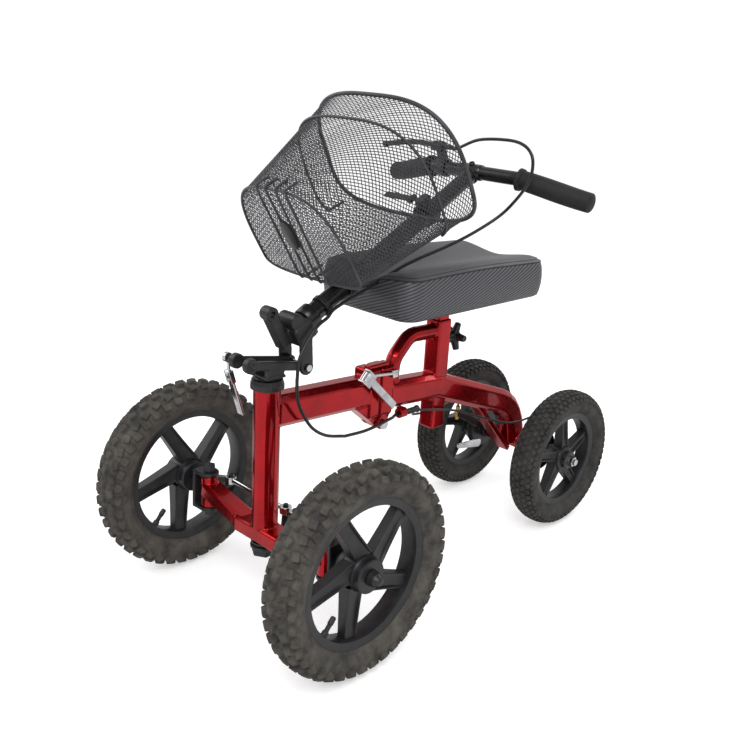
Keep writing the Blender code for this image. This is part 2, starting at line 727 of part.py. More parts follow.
def frameLatch():
    """Draw bolt held on the rear hinge block, and its cam lever on the left side."""
    along = (latchTip - latchPivot).normalized()
    axis = Vector((0, -along.z, along.y))
    barrel = rod("frame_latch_bolt", latchPivot - axis * 0.008, latchPivot + axis * 0.008,
                 0.0045, 10)
    draw = rod("draw", latchPivot + Vector((0, 0.003, -0.0010)), (0.0262, 0.2420, 0.3390), 0.0030, 10)
    foot = box("foot", (0.0245, 0.2360, 0.3390), (0.0080, 0.012, 0.012))
    eyeBore = rod("bore", latchPivot - axis * 0.02, latchPivot + axis * 0.02, 0.0020, 10)
    fit(cut(welded(barrel, draw, foot), eyeBore), "rear_frame", chrome)
    catch = box("frame_latch_catch", (0.008, 0.2120, hingeTop + gap + 0.0035), (0.014, 0.044, 0.007),
                0, 0.0015)
    fit(catch, "rear_frame", redPaint)

    thick = 0.0042
    lean = atan2(along.z, along.y)
    low = latchPivot.x + 0.0052
    reach = (latchTip - latchPivot).length
    middle = latchPivot + along * (reach / 2 + 0.004)
    blade = box("frame_latch_lever", (low + thick / 2, middle.y, middle.z),
                (thick, reach - 0.004, 0.0125), lean, 0.001)
    ears = [box("ear", latchPivot + axis * s * 0.0098 + xAxis * 0.0028,
                (0.0110, 0.0094, 0.0030), lean) for s in (1, -1)]
    pin = rod("pin", latchPivot - axis * 0.0100, latchPivot + axis * 0.0100, 0.0015, 10)
    bridge = box("bridge", latchPivot + along * 0.0080 + xAxis * 0.0067,
                 (0.0038, 0.0170, 0.0220), lean)
    fit(welded(blade, bridge, *ears, pin), "frame_latch", aluminium)


# Stem ----------------------------------------------------------------------

linkIn = 0.0209
linkOut = 0.0259


def stemLower():
    """Hinge casting with its latch tongue, outer tube, clamps and the basket's bracket."""
    casting = box("stem_link", onStem(-0.0163, -0.001), (2 * linkOut, 0.0346, 0.030), stemAngle, 0.003)
    radius = hypot(knuckleY - foldY, knuckleZ - foldZ)
    direction = atan2(knuckleZ - foldZ, knuckleY - foldY) - uprightTurn
    holeAt = Vector((0, foldY + radius * cos(direction), foldZ + radius * sin(direction)))
    tongue = box("tongue", holeAt - stemUp * 0.029, (0.0190, 0.0160, 0.058), stemAngle)
    neck = box("neck", onStem(-0.0405, 0.0027), (0.0190, 0.0160, 0.0226), stemAngle)
    tongueEnd = rod("end", holeAt - xAxis * 0.0095, holeAt + xAxis * 0.0095, 0.0105, 12)
    sides = []
    for sign in (1, -1):
        x = sign * (linkIn + linkOut) / 2
        sides.append(rod("round", (sign * linkIn, foldY, foldZ), (sign * linkOut, foldY, foldZ),
                         0.0120, 12))
        sides.append(box("side", (x, 0.0505, 0.408), (linkOut - linkIn, 0.0225, 0.048), radians(4)))
    boss = rod("boss", onStem(-0.020, 0.020, -0.012), onStem(-0.020, 0.020, 0.022), 0.0120, 12)
    pinHole = rod("bore", (-0.04, foldY, foldZ), (0.04, foldY, foldZ), pinRadius + gap, 10)
    tongueHole = rod("bore", holeAt - xAxis * 0.02, holeAt + xAxis * 0.02, 0.0045, 10)
    spigot = rod("spigot", onStem(-0.010), onStem(0.030), 0.0120, 12)
    link = welded(casting, tongue, neck, tongueEnd, *sides, boss, spigot)
    fit(cut(link, pinHole, tongueHole), "stem_lower", blackPaint)

    bore = innerRadius + gap
    outer = turned("stem_outer_tube", onStem(0), stemDir,
                   [(outerRadius, outerLength), (outerRadius, 0.0200), (0.0190, 0.0200),
                    (0.0190, 0.0015), (0.0123, 0.0015), (0.0123, 0.0315), (bore, 0.0315),
                    (bore, outerLength)], 16)
    ear = box("ear", onStem(0.011, -0.0215), (0.012, 0.015, 0.010), stemAngle)
    fit(welded(outer, ear), "stem_lower", blackPaint)
    clip = ring("cable_clip", onStem(0.0400), stemDir, outerRadius + gap, 0.0165, 0.008, 12)
    saddle = box("saddle", onStem(0.0400, -0.0015, 0.0178), (0.0060, 0.0075, 0.007), stemAngle)
    fit(welded(clip, saddle), "stem_lower", blackPlastic)

    clamp = ring("height_clamp", onStem(outerLength - 0.012), stemDir, outerRadius + gap,
                 0.0195, 0.024, 16)
    ears = box("ears", onStem(outerLength - 0.012, 0.0225), (0.016, 0.022, 0.012), stemAngle, 0.001)
    skewer = rod("skewer", onStem(outerLength - 0.012, 0.0225, -0.018),
                 onStem(outerLength - 0.012, 0.0225, 0.014), 0.0025, 10)
    fit(welded(clamp, ears, skewer), "stem_lower", blackPaint)


def heightLever():
    """Cam lever of the height clamp, pointing across to the right."""
    pivot = onStem(outerLength - 0.012, 0.0225, -0.0235)
    barrel = rod("height_lever", pivot - stemDir * 0.008, pivot + stemDir * 0.008, 0.0050, 10)
    blade = box("blade", pivot + Vector((-0.030, 0, 0)), (0.056, 0.0125, 0.0040), stemAngle, 0.001)
    fit(welded(barrel, blade), "height_lever_body", aluminium)


def stemLatch():
    """Draw link and hanging lever that lock the upright stem, beside the right knuckle."""
    x = -0.0360
    eyeAt = Vector((x, knuckleY, knuckleZ))
    barrelAt = Vector((x, -0.0400, 0.3780))
    eye = ring("stem_latch_link", eyeAt, xAxis, 0.0040 + gap, 0.0075, 0.0070, 10)
    shank = rod("shank", eyeAt + Vector((0, 0.001, -0.0060)), barrelAt + Vector((0, 0, 0.0035)), 0.0025, 10)
    barrel = ring("barrel", barrelAt, xAxis, 0.0022, 0.0050, 0.0070, 10)
    fit(welded(eye, shank, barrel), "stem_latch_link_body", chrome)

    tip = Vector((x, -0.0170, 0.3080))
    along = (tip - barrelAt).normalized()
    lean = atan2(along.z, along.y)
    blade = box("stem_latch_lever", barrelAt + along * 0.0405, (0.0125, 0.062, 0.0040), lean, 0.001)
    ears = [box("ear", barrelAt + xAxis * s * 0.0052 + along * 0.0060, (0.0026, 0.0200, 0.0075), lean)
            for s in (1, -1)]
    pin = rod("pin", barrelAt - xAxis * 0.0064, barrelAt + xAxis * 0.0064, 0.0018, 10)
    fit(welded(blade, *ears, pin), "stem_latch_lever_body", chrome)


leverX = -0.071
leverUp = 0.0390
bandX = -0.062


def barPoint(x):
    """Centre line of the handlebar at x: straight in the middle, then swept to the rider."""
    t = max(0.0, (abs(x) - barStraight) / (barHalf - barStraight))
    ease = t * t * (3 - 2 * t) * 0.35 + t * 0.65
    return onStem(barAlong + barSweepAlong * ease, -barSweepBack * ease, x)


def stemUpper():
    """Inner tube, handlebar and grips, and the bracket of the brake lever."""
    inner = rod("stem_inner_tube", onStem(outerLength - innerInside),
                onStem(barAlong - barRadius - gap - 0.003), innerRadius, 16)
    fit(inner, "stem_upper", blackPaint)
    gripStart = barHalf - gripLength
    stations = [-barHalf + 0.002, -0.165, -0.125, -0.100, -0.085, 0, 0.085, 0.100, 0.125, 0.165,
                barHalf - 0.002]
    bar = tube("handlebar", [barPoint(x) for x in stations], barRadius, 3)
    head = rod("head", onStem(barAlong - barRadius - 0.003), onStem(barAlong), 0.0150, 12)
    cross = rod("cross", onStem(barAlong, 0, -0.019), onStem(barAlong, 0, 0.019), 0.0140, 12)
    fit(welded(bar, head, cross), "stem_upper", blackPaint)
    for side, sign in (("L", 1), ("R", -1)):
        marks = [gripStart, gripStart + 0.035, gripStart + 0.075, barHalf + 0.003]
        grip = tube("grip_" + side, [barPoint(sign * x) for x in marks], gripRadius, 3)
        reach = [barPoint(sign * x) for x in (gripStart - 0.01, gripStart, gripStart + 0.035,
                                              gripStart + 0.075, barHalf - 0.0015)]
        hollow = tube("hollow", reach, barRadius + 0.0012, 3)
        collar = rod("collar", barPoint(sign * gripStart), barPoint(sign * (gripStart + 0.006)),
                     0.0185, 12)
        fit(cut(welded(grip, collar), hollow), "stem_upper", gripRubber)

    band = ring("brake_bracket", barPoint(bandX), xAxis, barRadius + gap, 0.0155, 0.012, 12)
    arm = box("arm", onStem(barAlong + 0.002, 0.0265, bandX), (0.012, 0.012, 0.028), stemAngle)
    fork = box("fork", onStem(barAlong + 0.002, leverUp, bandX - 0.003), (0.026, 0.016, 0.012),
               stemAngle, 0.002)
    nozzle = rod("nozzle", onStem(barAlong + 0.002, leverUp, bandX + 0.006),
                 onStem(barAlong + 0.002, leverUp, bandX + 0.024), 0.0042, 10)
    slot = box("slot", onStem(barAlong + 0.002, leverUp, bandX - 0.012), (0.014, 0.0052, 0.03),
               stemAngle)
    fit(cut(welded(band, arm, fork, nozzle), slot), "stem_upper", blackPaint)


def brakeLever():
    """Two-finger blade pivoted in the fork of the bracket, running outward to the right."""
    sweep = [Vector((0.001, 0, 0)), Vector((-0.030, 0, 0.003)), Vector((-0.070, 0, -0.001)),
             Vector((-0.118, 0, -0.010))]
    blade = boom("brake_lever", sweep, 0.0044, 0.0100, 0.0015)
    tip = rod("tip", sweep[-1] + xAxis * 0.004, sweep[-1] - xAxis * 0.006, 0.0052, 10)
    lever = welded(blade, tip)
    pivot = onStem(barAlong + 0.002, leverUp, leverX)
    lever.data.transform(Matrix.Translation(pivot) @ Matrix.Rotation(stemAngle, 4, "X"))
    fit(lever, "brake_lever_body", blackPaint)


# Basket --------------------------------------------------------------------

basketFloor = {"half": 0.1007, "front": 0.1315, "back": 0.0242, "power": 3.2, "up": 0.0}
basketRim = {"half": 0.1444, "front": 0.1314, "back": 0.0670, "power": 3.1, "up": 0.0091}
rimHeight = 0.2018
rimSlope = 0.0726
basketSides = 28
basketClampAt = 0.098


def basketRing(share, grow=0.0, sides=basketSides):
    """Points round the basket at a share of its height, pushed outward by grow."""
    mixed = {key: basketFloor[key] + (basketRim[key] - basketFloor[key]) * share
             for key in basketFloor}
    points = []
    for number in range(sides):
        turn = 2 * pi * (number + 0.5) / sides
        c, s = cos(turn), sin(turn)
        power = 2 / mixed["power"]
        depth = (mixed["front"] if s > 0 else mixed["back"]) + grow
        x = (mixed["half"] + grow) * abs(c) ** power * (1 if c > 0 else -1)
        up = mixed["up"] + depth * abs(s) ** power * (1 if s > 0 else -1)
        points.append(onBasket(share * (rimHeight + rimSlope * up), up, x))
    return points


def basket():
    shape = bmesh.new()
    rings = [[shape.verts.new(point) for point in basketRing(share)] for share in (0.0, 1.0)]
    shape.faces.new(rings[0])
    for number in range(basketSides):
        after = (number + 1) % basketSides
        shape.faces.new((rings[0][number], rings[0][after], rings[1][after], rings[1][number]))
    bmesh.ops.recalc_face_normals(shape, faces=shape.faces)
    mesh = bpy.data.meshes.new("basket")
    shape.to_mesh(mesh)
    shape.free()
    made = fresh("basket", mesh)
    wall = made.modifiers.new("wall", "SOLIDIFY")
    wall.thickness = basketWall
    wall.offset = 1.0
    fit(settled(made), "stem_lower", blackPaint, False)
    rim = tube("basket_rim", basketRing(1.0 + 0.0162, 0.0), wireRadius, 2, True)
    fit(rim, "stem_lower", blackPaint)

    foot = onStem(basketClampAt)
    band = ring("basket_bracket", foot, stemDir, outerRadius + gap, 0.0185, 0.026, 12)
    pad = box("pad", onStem(basketClampAt, 0.0241), (0.034, 0.030, 0.0172), stemAngle, 0.001)
    fit(welded(band, pad), "stem_lower", blackPaint)


# Brake cable ---------------------------------------------------------------

cableRadius = 0.0025


def brakeLeads():
    """The two thinner lengths from the junction under the boom to the rear brakes."""
    left = [(0.0155, 0.296, 0.2604), (0.0225, 0.340, 0.2530), (0.0250, 0.400, 0.2380),
            (0.0270, 0.480, 0.2060), (0.0330, 0.560, 0.1800), (0.0480, 0.640, 0.1900),
            (0.0640, 0.6830, 0.2020), (0.0665, 0.6905, 0.1925)]
    right = [(0.0155, 0.296, 0.2604), (-0.005, 0.322, 0.2420), (-0.0220, 0.345, 0.2300),
             (-0.0400, 0.420, 0.2150), (-0.0600, 0.490, 0.2120), (-0.0660, 0.5160, 0.2010),
             (-0.0665, 0.5185, 0.1925)]
    return [tube("lead", smoothPath(points, 2), cableRadius - 0.0005, 2) for points in (left, right)]


def brakeCable():
    """One housing from the lever to the rear brakes, in the lengths each body carries."""
    nozzleEnd = onStem(barAlong + 0.002, leverUp, bandX + 0.0253)
    upper = [nozzleEnd, nozzleEnd + xAxis * 0.012, (0.020, 0.402, 0.6934), (0.075, 0.402, 0.6987),
             (0.108, 0.400, 0.6950), (0.127, 0.398, 0.682), (0.132, 0.397, 0.662),
             (0.127, 0.397, 0.640), (0.108, 0.396, 0.612), (0.082, 0.394, 0.584)]
    stem = [(0.0805, 0.3925, 0.5828), (0.064, 0.358, 0.5586), (0.050, 0.3165, 0.5396),
            (0.040, 0.260, 0.5234), (0.034, 0.2234, 0.511), (0.028, 0.1475, 0.4815),
            (0.0260, 0.101, 0.4645), (0.0300, 0.083, 0.4545), (0.0318, 0.060, 0.443)]
    steer = [(0.034, 0.034, 0.414), (0.036, 0.0255, 0.3965), (0.038, 0.0225, 0.3724)]
    front = [(0.038, 0.0225, 0.3716), (0.037, 0.0245, 0.350), (0.036, 0.033, 0.3274),
             (0.033, 0.057, 0.2941), (0.032, 0.0874, 0.2732), (0.032, 0.1268, 0.2620),
             (0.032, 0.167, 0.2600), (0.031, 0.196, 0.2615), (0.0305, 0.215, 0.2640)]
    rear = [(0.0305, 0.2154, 0.26405), (0.029, 0.232, 0.2655), (0.021, 0.247, 0.2635),
            (0.0150, 0.2605, 0.2625), (0.0150, 0.279, 0.2620), (0.0165, 0.300, 0.2600)]
    for name, bodyName, points, steps in (
            ("brake_cable_upper", "stem_upper", upper, 2),
            ("brake_cable_stem", "stem_lower", stem, 2),
            ("brake_cable_steerer", "steerer", steer, 2),
            ("brake_cable_front", "front_frame", front, 2),
            ("brake_cable_rear", "rear_frame", rear, 2)):
        made = tube(name, smoothPath(points, steps), cableRadius, 2)
        if name == "brake_cable_rear":
            made = welded(made, *brakeLeads())
        fit(made, bodyName, blackPlastic)


def allBodies():
    body("scooter", (0, 0, 0))
    body("rear_frame", (0, 0, 0))
    body("front_frame", (0, hingeY, hingeZ), "rear_frame")
    body("frame_latch", latchPivot, "rear_frame")
    body("seat", (0, seatTubeY, padLow), "rear_frame")
    body("seat_knob_body", (0, seatTubeY + 0.03, knobZ), "rear_frame")
    body("steerer", (0, 0, beamTop), "front_frame")
    body("stem_lower", (0, foldY, foldZ), "steerer")
    body("stem_upper", onStem(outerLength), "stem_lower")
    body("height_lever_body", onStem(outerLength - 0.012, 0.0225, -0.0235), "stem_lower")
    body("brake_lever_body", onStem(barAlong + 0.002, leverUp, leverX), "stem_upper")
    body("stem_latch_link_body", (-0.036, knuckleY, knuckleZ), "steerer")
    body("stem_latch_lever_body", (-0.036, -0.040, 0.378), "stem_latch_link_body")
    for side, sign in (("L", 1), ("R", -1)):
        body("knuckle_body_" + side, (sign * kingpinX, 0, frontRadius), "front_frame")
        body("front_wheel_" + side, (sign * frontTrack / 2, 0, frontRadius), "knuckle_body_" + side)
        body("rear_wheel_" + side, (sign * rearTrack / 2, wheelbase, rearRadius), "rear_frame")
        body("tie_rod_body_" + side, (sign * tieOffset, tieY, tieZ), "steerer")
        facing = -1 if sign < 0 else 1
        body("brake_arm_" + side, (sign * 0.0545, wheelbase + facing * 0.030, rearRadius - 0.020),
             "rear_frame")


allBodies()
wheels()
frontFrame()
headset()
steerer()
stemBase()
for side, sign in (("L", 1), ("R", -1)):
    knuckleParts(side, sign)
    tieRod(side, sign)
    rearBrake(side, sign)
rearFrame()
cableBoss()
seat()
seatKnob()
frameLatch()
stemLower()
heightLever()
stemLatch()
stemUpper()
brakeLever()
basket()
brakeCable()
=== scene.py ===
import json
import random
from math import atan2, cos, pi, radians, sin, sqrt

import bmesh
import bpy
from mathutils import Matrix, Vector

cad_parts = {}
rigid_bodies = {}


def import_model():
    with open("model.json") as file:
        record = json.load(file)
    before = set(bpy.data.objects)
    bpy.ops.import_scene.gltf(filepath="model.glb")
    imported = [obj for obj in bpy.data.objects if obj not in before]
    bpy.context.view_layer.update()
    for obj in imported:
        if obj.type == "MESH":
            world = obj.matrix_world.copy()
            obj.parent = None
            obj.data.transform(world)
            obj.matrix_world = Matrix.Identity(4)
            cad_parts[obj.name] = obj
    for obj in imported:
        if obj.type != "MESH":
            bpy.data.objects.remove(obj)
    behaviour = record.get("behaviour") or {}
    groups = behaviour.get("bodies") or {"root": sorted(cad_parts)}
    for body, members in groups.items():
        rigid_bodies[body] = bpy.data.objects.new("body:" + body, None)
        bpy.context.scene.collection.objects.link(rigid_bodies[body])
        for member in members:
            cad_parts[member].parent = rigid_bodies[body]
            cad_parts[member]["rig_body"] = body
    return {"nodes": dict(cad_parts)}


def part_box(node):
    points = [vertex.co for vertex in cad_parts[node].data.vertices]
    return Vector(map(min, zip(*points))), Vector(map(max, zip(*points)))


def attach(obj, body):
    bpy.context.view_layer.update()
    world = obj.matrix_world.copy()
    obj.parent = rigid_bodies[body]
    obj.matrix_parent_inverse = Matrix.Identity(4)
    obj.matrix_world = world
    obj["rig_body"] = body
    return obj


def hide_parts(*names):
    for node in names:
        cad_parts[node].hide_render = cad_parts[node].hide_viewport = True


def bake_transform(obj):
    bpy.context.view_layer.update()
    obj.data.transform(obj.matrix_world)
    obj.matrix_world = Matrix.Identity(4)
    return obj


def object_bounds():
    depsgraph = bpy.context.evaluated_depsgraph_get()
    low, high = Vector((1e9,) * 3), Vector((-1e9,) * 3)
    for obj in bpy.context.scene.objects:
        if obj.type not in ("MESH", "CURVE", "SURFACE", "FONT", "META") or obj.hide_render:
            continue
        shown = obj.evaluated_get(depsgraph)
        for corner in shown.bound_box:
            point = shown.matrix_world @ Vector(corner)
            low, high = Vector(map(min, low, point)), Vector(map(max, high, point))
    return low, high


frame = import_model()
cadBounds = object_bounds()
nodes = frame["nodes"]
random.seed(7)

# Shared sizes, in metres. The axle line of the front wheels gives the offset of the whole scooter
frontLow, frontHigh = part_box("front_rim_L")
axleY = (frontLow.y + frontHigh.y) / 2
stemAngle = radians(28.65)
basketAngle = radians(32.45)
stemStart = Vector((0.0, 0.0633 + axleY, 0.4442))
basketOrigin = Vector((0.0, 0.0719 + axleY, 0.5244))
stemDir = Vector((0.0, cos(stemAngle), sin(stemAngle)))
stemUp = Vector((0.0, -sin(stemAngle), cos(stemAngle)))
basketDir = Vector((0.0, cos(basketAngle), sin(basketAngle)))
basketUp = Vector((0.0, -sin(basketAngle), cos(basketAngle)))
xAxis = Vector((1.0, 0.0, 0.0))


def at(x, y, z):
    return Vector((x, y + axleY, z))


def onStem(along, up=0.0, x=0.0):
    return stemStart + stemDir * along + stemUp * up + xAxis * x


def onBasket(along, up=0.0, x=0.0):
    return basketOrigin + basketDir * along + basketUp * up + xAxis * x


# Nodes and materials

def linear(hexColour):
    parts = [int(hexColour[i:i + 2], 16) / 255 for i in (1, 3, 5)]
    parts = [c / 12.92 if c <= 0.04045 else ((c + 0.055) / 1.055) ** 2.4 for c in parts]
    return (*parts, 1.0)


def addNode(tree, kind, inputs=None, **settings):
    made = tree.nodes.new(kind)
    for key, value in settings.items():
        setattr(made, key, value)
    for key, value in (inputs or {}).items():
        if isinstance(value, bpy.types.NodeSocket):
            tree.links.new(value, made.inputs[key])
        else:
            made.inputs[key].default_value = value
    return made


def ramp(tree, source, stops):
    made = addNode(tree, "ShaderNodeValToRGB", {"Fac": source})
    points = made.color_ramp.elements
    while len(points) < len(stops):
        points.new(0.5)
    for point, (place, colour) in zip(points, stops):
        point.position = place
        point.color = linear(colour) if isinstance(colour, str) else (colour, colour, colour, 1.0)
    return made.outputs["Color"]


def finishOf(name, **sockets):
    made = bpy.data.materials.new(name)
    made.use_nodes = True
    tree = made.node_tree
    shader = tree.nodes["Principled BSDF"]
    for key, value in sockets.items():
        shader.inputs[key.replace("_", " ")].default_value = value
    place = addNode(tree, "ShaderNodeTexCoord").outputs["Object"]
    return made, tree, shader, place


def noiseAt(tree, place, perMetre, detail=3.0, roughness=0.55):
    return addNode(tree, "ShaderNodeTexNoise", {
        "Vector": place, "Scale": perMetre, "Detail": detail, "Roughness": roughness}).outputs["Fac"]


def bumpOn(tree, shader, height, strength, distance, under=None):
    made = addNode(tree, "ShaderNodeBump", {
        "Height": height, "Strength": strength, "Distance": distance})
    if under:
        tree.links.new(under, made.inputs["Normal"])
    tree.links.new(made.outputs["Normal"], shader.inputs["Normal"])
    return made.outputs["Normal"]


def candyPaint():
    # Translucent red over a bright metallic base, sprayed on steel tube: deep red, pale pink lights
    made, tree, shader, place = finishOf(
        "candy_red_painted_steel", Metallic=0.92, Coat_Weight=0.45, Coat_Roughness=0.04,
        Coat_Tint=linear("#FFC0C0"))
    flake = noiseAt(tree, place, 1400.0, 2.0)
    cloud = noiseAt(tree, place, 22.0, 3.0)
    base = ramp(tree, cloud, [(0.3, "#98030F"), (0.7, "#B40516")])
    tree.links.new(base, shader.inputs["Base Color"])
    rough = ramp(tree, flake, [(0.35, 0.20), (0.65, 0.30)])
    tree.links.new(rough, shader.inputs["Roughness"])
    bumpOn(tree, shader, noiseAt(tree, place, 260.0, 1.0), 0.06, 0.0004)
    return made


def powderCoat(name, dark, light, rough, grain):
    # Powder coat baked on steel: fine orange peel, slightly paler where it is rubbed
    made, tree, shader, place = finishOf(name, Specular_IOR_Level=0.5)
    cloud = noiseAt(tree, place, 45.0, 4.0)
    tree.links.new(ramp(tree, cloud, [(0.35, dark), (0.7, light)]), shader.inputs["Base Color"])
    speck = noiseAt(tree, place, 700.0, 2.0)
    tree.links.new(ramp(tree, speck, [(0.3, rough - 0.06), (0.7, rough + 0.08)]),
                   shader.inputs["Roughness"])
    bumpOn(tree, shader, speck, 0.18, grain)
    return made


def mouldedNylon():
    # Glass-filled nylon, injection moulded: satin black with a faint mottled grain
    made, tree, shader, place = finishOf("moulded_nylon_wheel")
    cloud = noiseAt(tree, place, 60.0, 4.0)
    tree.links.new(ramp(tree, cloud, [(0.3, "#141415"), (0.75, "#26262A")]),
                   shader.inputs["Base Color"])
    fine = noiseAt(tree, place, 900.0, 2.0)
    tree.links.new(ramp(tree, fine, [(0.3, 0.34), (0.7, 0.48)]), shader.inputs["Roughness"])
    bumpOn(tree, shader, fine, 0.15, 0.0003)
    return made


def tyreRubber(name, clean, dusty):
    # Moulded tyre rubber, dusty in its hollows from use: matt brown-grey
    made, tree, shader, place = finishOf(name, Specular_IOR_Level=0.35)
    dust = noiseAt(tree, place, 38.0, 6.0, 0.65)
    tree.links.new(ramp(tree, dust, [(0.34, clean), (0.66, dusty)]), shader.inputs["Base Color"])
    fine = noiseAt(tree, place, 480.0, 3.0)
    tree.links.new(ramp(tree, fine, [(0.3, 0.72), (0.7, 0.92)]), shader.inputs["Roughness"])
    bumpOn(tree, shader, fine, 0.35, 0.0005)
    return made


def gripRubber():
    # Soft thermoplastic grip rubber: matt, with a fine leathery stipple
    made, tree, shader, place = finishOf("grip_rubber", Specular_IOR_Level=0.4)
    cloud = noiseAt(tree, place, 90.0, 3.0)
    tree.links.new(ramp(tree, cloud, [(0.3, "#161617"), (0.7, "#262629")]),
                   shader.inputs["Base Color"])
    cells = addNode(tree, "ShaderNodeTexVoronoi", {"Vector": place, "Scale": 900.0})
    tree.links.new(ramp(tree, cloud, [(0.3, 0.58), (0.7, 0.72)]), shader.inputs["Roughness"])
    bumpOn(tree, shader, cells.outputs["Distance"], 0.35, 0.0004)
    return made


def platedMetal(name, light, dark, rough, streak=0.0):
    # Plated or polished metal: near mirror, with hair lines from polishing
    made, tree, shader, place = finishOf(name, Metallic=1.0)
    lines = addNode(tree, "ShaderNodeMapping", {
        "Vector": place, "Scale": (60.0, 900.0, 900.0)}).outputs["Vector"]
    hair = noiseAt(tree, lines, 1.5, 2.0)
    cloud = noiseAt(tree, place, 55.0, 3.0)
    tree.links.new(ramp(tree, cloud, [(0.3, dark), (0.7, light)]), shader.inputs["Base Color"])
    tree.links.new(ramp(tree, hair, [(0.3, rough - 0.04), (0.7, rough + 0.06)]),
                   shader.inputs["Roughness"])
    bumpOn(tree, shader, hair, 0.05 + streak, 0.0002)
    return made


def padVinyl():
    # Expanded PVC vinyl over foam, the top panel: fine leather grain, soft sheen
    made, tree, shader, place = finishOf("grained_pvc_vinyl", Sheen_Weight=0.15)
    cloud = noiseAt(tree, place, 16.0, 4.0)
    tree.links.new(ramp(tree, cloud, [(0.3, "#39393D"), (0.7, "#47474C")]),
                   shader.inputs["Base Color"])
    cells = addNode(tree, "ShaderNodeTexVoronoi", {"Vector": place, "Scale": 750.0})
    tree.links.new(ramp(tree, cloud, [(0.3, 0.52), (0.7, 0.64)]), shader.inputs["Roughness"])
    bumpOn(tree, shader, cells.outputs["Distance"], 0.4, 0.0004)
    return made


def waveScale(spacing):
    # A band texture at scale 1 repeats every pi / 10
    return pi / 10 / spacing


def carbonVinyl():
    # Vinyl embossed as a carbon twill: diagonal ribs 3 mm apart, glossier than the top panel
    made, tree, shader, place = finishOf("carbon_embossed_vinyl", Coat_Weight=0.15)
    onPad = addNode(tree, "ShaderNodeUVMap", uv_map="sideMap").outputs["UV"]
    turned = addNode(tree, "ShaderNodeMapping", {
        "Vector": onPad, "Rotation": (0.0, 0.0, radians(38))})
    ribs = addNode(tree, "ShaderNodeTexWave", {
        "Vector": turned.outputs["Vector"], "Scale": waveScale(0.0031),
        "Distortion": 0.0}).outputs["Fac"]
    tree.links.new(ramp(tree, ribs, [(0.15, "#2B2B2E"), (0.75, "#5A5A60")]),
                   shader.inputs["Base Color"])
    tree.links.new(ramp(tree, ribs, [(0.2, 0.60), (0.8, 0.36)]), shader.inputs["Roughness"])
    bumpOn(tree, shader, ribs, 0.7, 0.0008)
    return made


def cableJacket():
    # Extruded PVC brake housing: dark, smooth and a little glossy
    made, tree, shader, place = finishOf("extruded_pvc_housing")
    cloud = noiseAt(tree, place, 130.0, 3.0)
    tree.links.new(ramp(tree, cloud, [(0.3, "#111112"), (0.7, "#1C1C1F")]),
                   shader.inputs["Base Color"])
    tree.links.new(ramp(tree, cloud, [(0.3, 0.30), (0.7, 0.42)]), shader.inputs["Roughness"])
    return made


finishes = {
    "red": candyPaint(),
    "gloss": powderCoat("gloss_black_powder_coat", "#0E0E10", "#1A1A1D", 0.26, 0.0003),
    "satin": powderCoat("satin_black_powder_coat", "#151517", "#232326", 0.40, 0.0004),
    "wire": powderCoat("grey_powder_coated_wire", "#2E2C2F", "#45424A", 0.40, 0.0003),
    "nylon": mouldedNylon(),
    "frontTyre": tyreRubber("dusty_front_tyre_rubber", "#373533", "#5E5A54"),
    "rearTyre": tyreRubber("dusty_rear_tyre_rubber", "#2C2B2B", "#4A4845"),
    "grip": gripRubber(),
    "chrome": platedMetal("chrome_plated_steel", "#D9D9DB", "#B4B4B8", 0.12),
    "aluminium": platedMetal("polished_cast_aluminium", "#D4D4D6", "#A9A9AD", 0.28, 0.1),
    "zinc": platedMetal("yellow_passivated_zinc", "#D9B45A", "#A8803A", 0.34, 0.1),
    "vinyl": padVinyl(),
    "carbon": carbonVinyl(),
    "jacket": cableJacket(),
    "thread": powderCoat("bonded_nylon_thread", "#1B1B1D", "#2A2A2D", 0.6, 0.0002),
}
print("materials ready")


# Mesh helpers

def linked(name, mesh):
    made = bpy.data.objects.new(name, mesh)
    bpy.context.scene.collection.objects.link(made)
    return made


def fromBmesh(name, shape, smooth=35):
    bmesh.ops.recalc_face_normals(shape, faces=shape.faces)
    mesh = bpy.data.meshes.new(name)
    shape.to_mesh(mesh)
    shape.free()
    mesh.shade_smooth()
    mesh.set_sharp_from_angle(angle=radians(smooth))
    return linked(name, mesh)


def settled(piece):
    graph = bpy.context.evaluated_depsgraph_get()
    mesh = bpy.data.meshes.new_from_object(piece.evaluated_get(graph), depsgraph=graph)
    name = piece.name
    bpy.data.objects.remove(piece, do_unlink=True)
    mesh.name = name
    return linked(name, mesh)


def paint(piece, *looks):
    if piece.data.materials:
        piece.data.materials.clear()
    for look in looks:
        piece.data.materials.append(finishes[look])
    return piece


def place(piece, body, slotName, *stands, look=None):
    if look:
        paint(piece, look)
    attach(piece, body)
    if stands:
        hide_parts(*stands)
    return piece


def bodyOf(node):
    return nodes[node]["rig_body"]


def revolve(name, centre, axis, profile, steps=96, smooth=35):
    # profile: (radius, along) pairs, a closed loop round the section
    axis = Vector(axis).normalized()
    side = axis.orthogonal().normalized()
    other = axis.cross(side)
    shape = bmesh.new()
    rings = []
    for step in range(steps):
        turn = 2 * pi * step / steps
        away = side * cos(turn) + other * sin(turn)
        rings.append([shape.verts.new(Vector(centre) + away * r + axis * a) for r, a in profile])
    for step in range(steps):
        here, ahead = rings[step], rings[(step + 1) % steps]
        for n in range(len(profile)):
            m = (n + 1) % len(profile)
            if profile[n][0] < 1e-6 and profile[m][0] < 1e-6:
                continue
            shape.faces.new((here[n], ahead[n], ahead[m], here[m]))
    bmesh.ops.remove_doubles(shape, verts=shape.verts, dist=1e-6)
    return fromBmesh(name, shape, smooth)


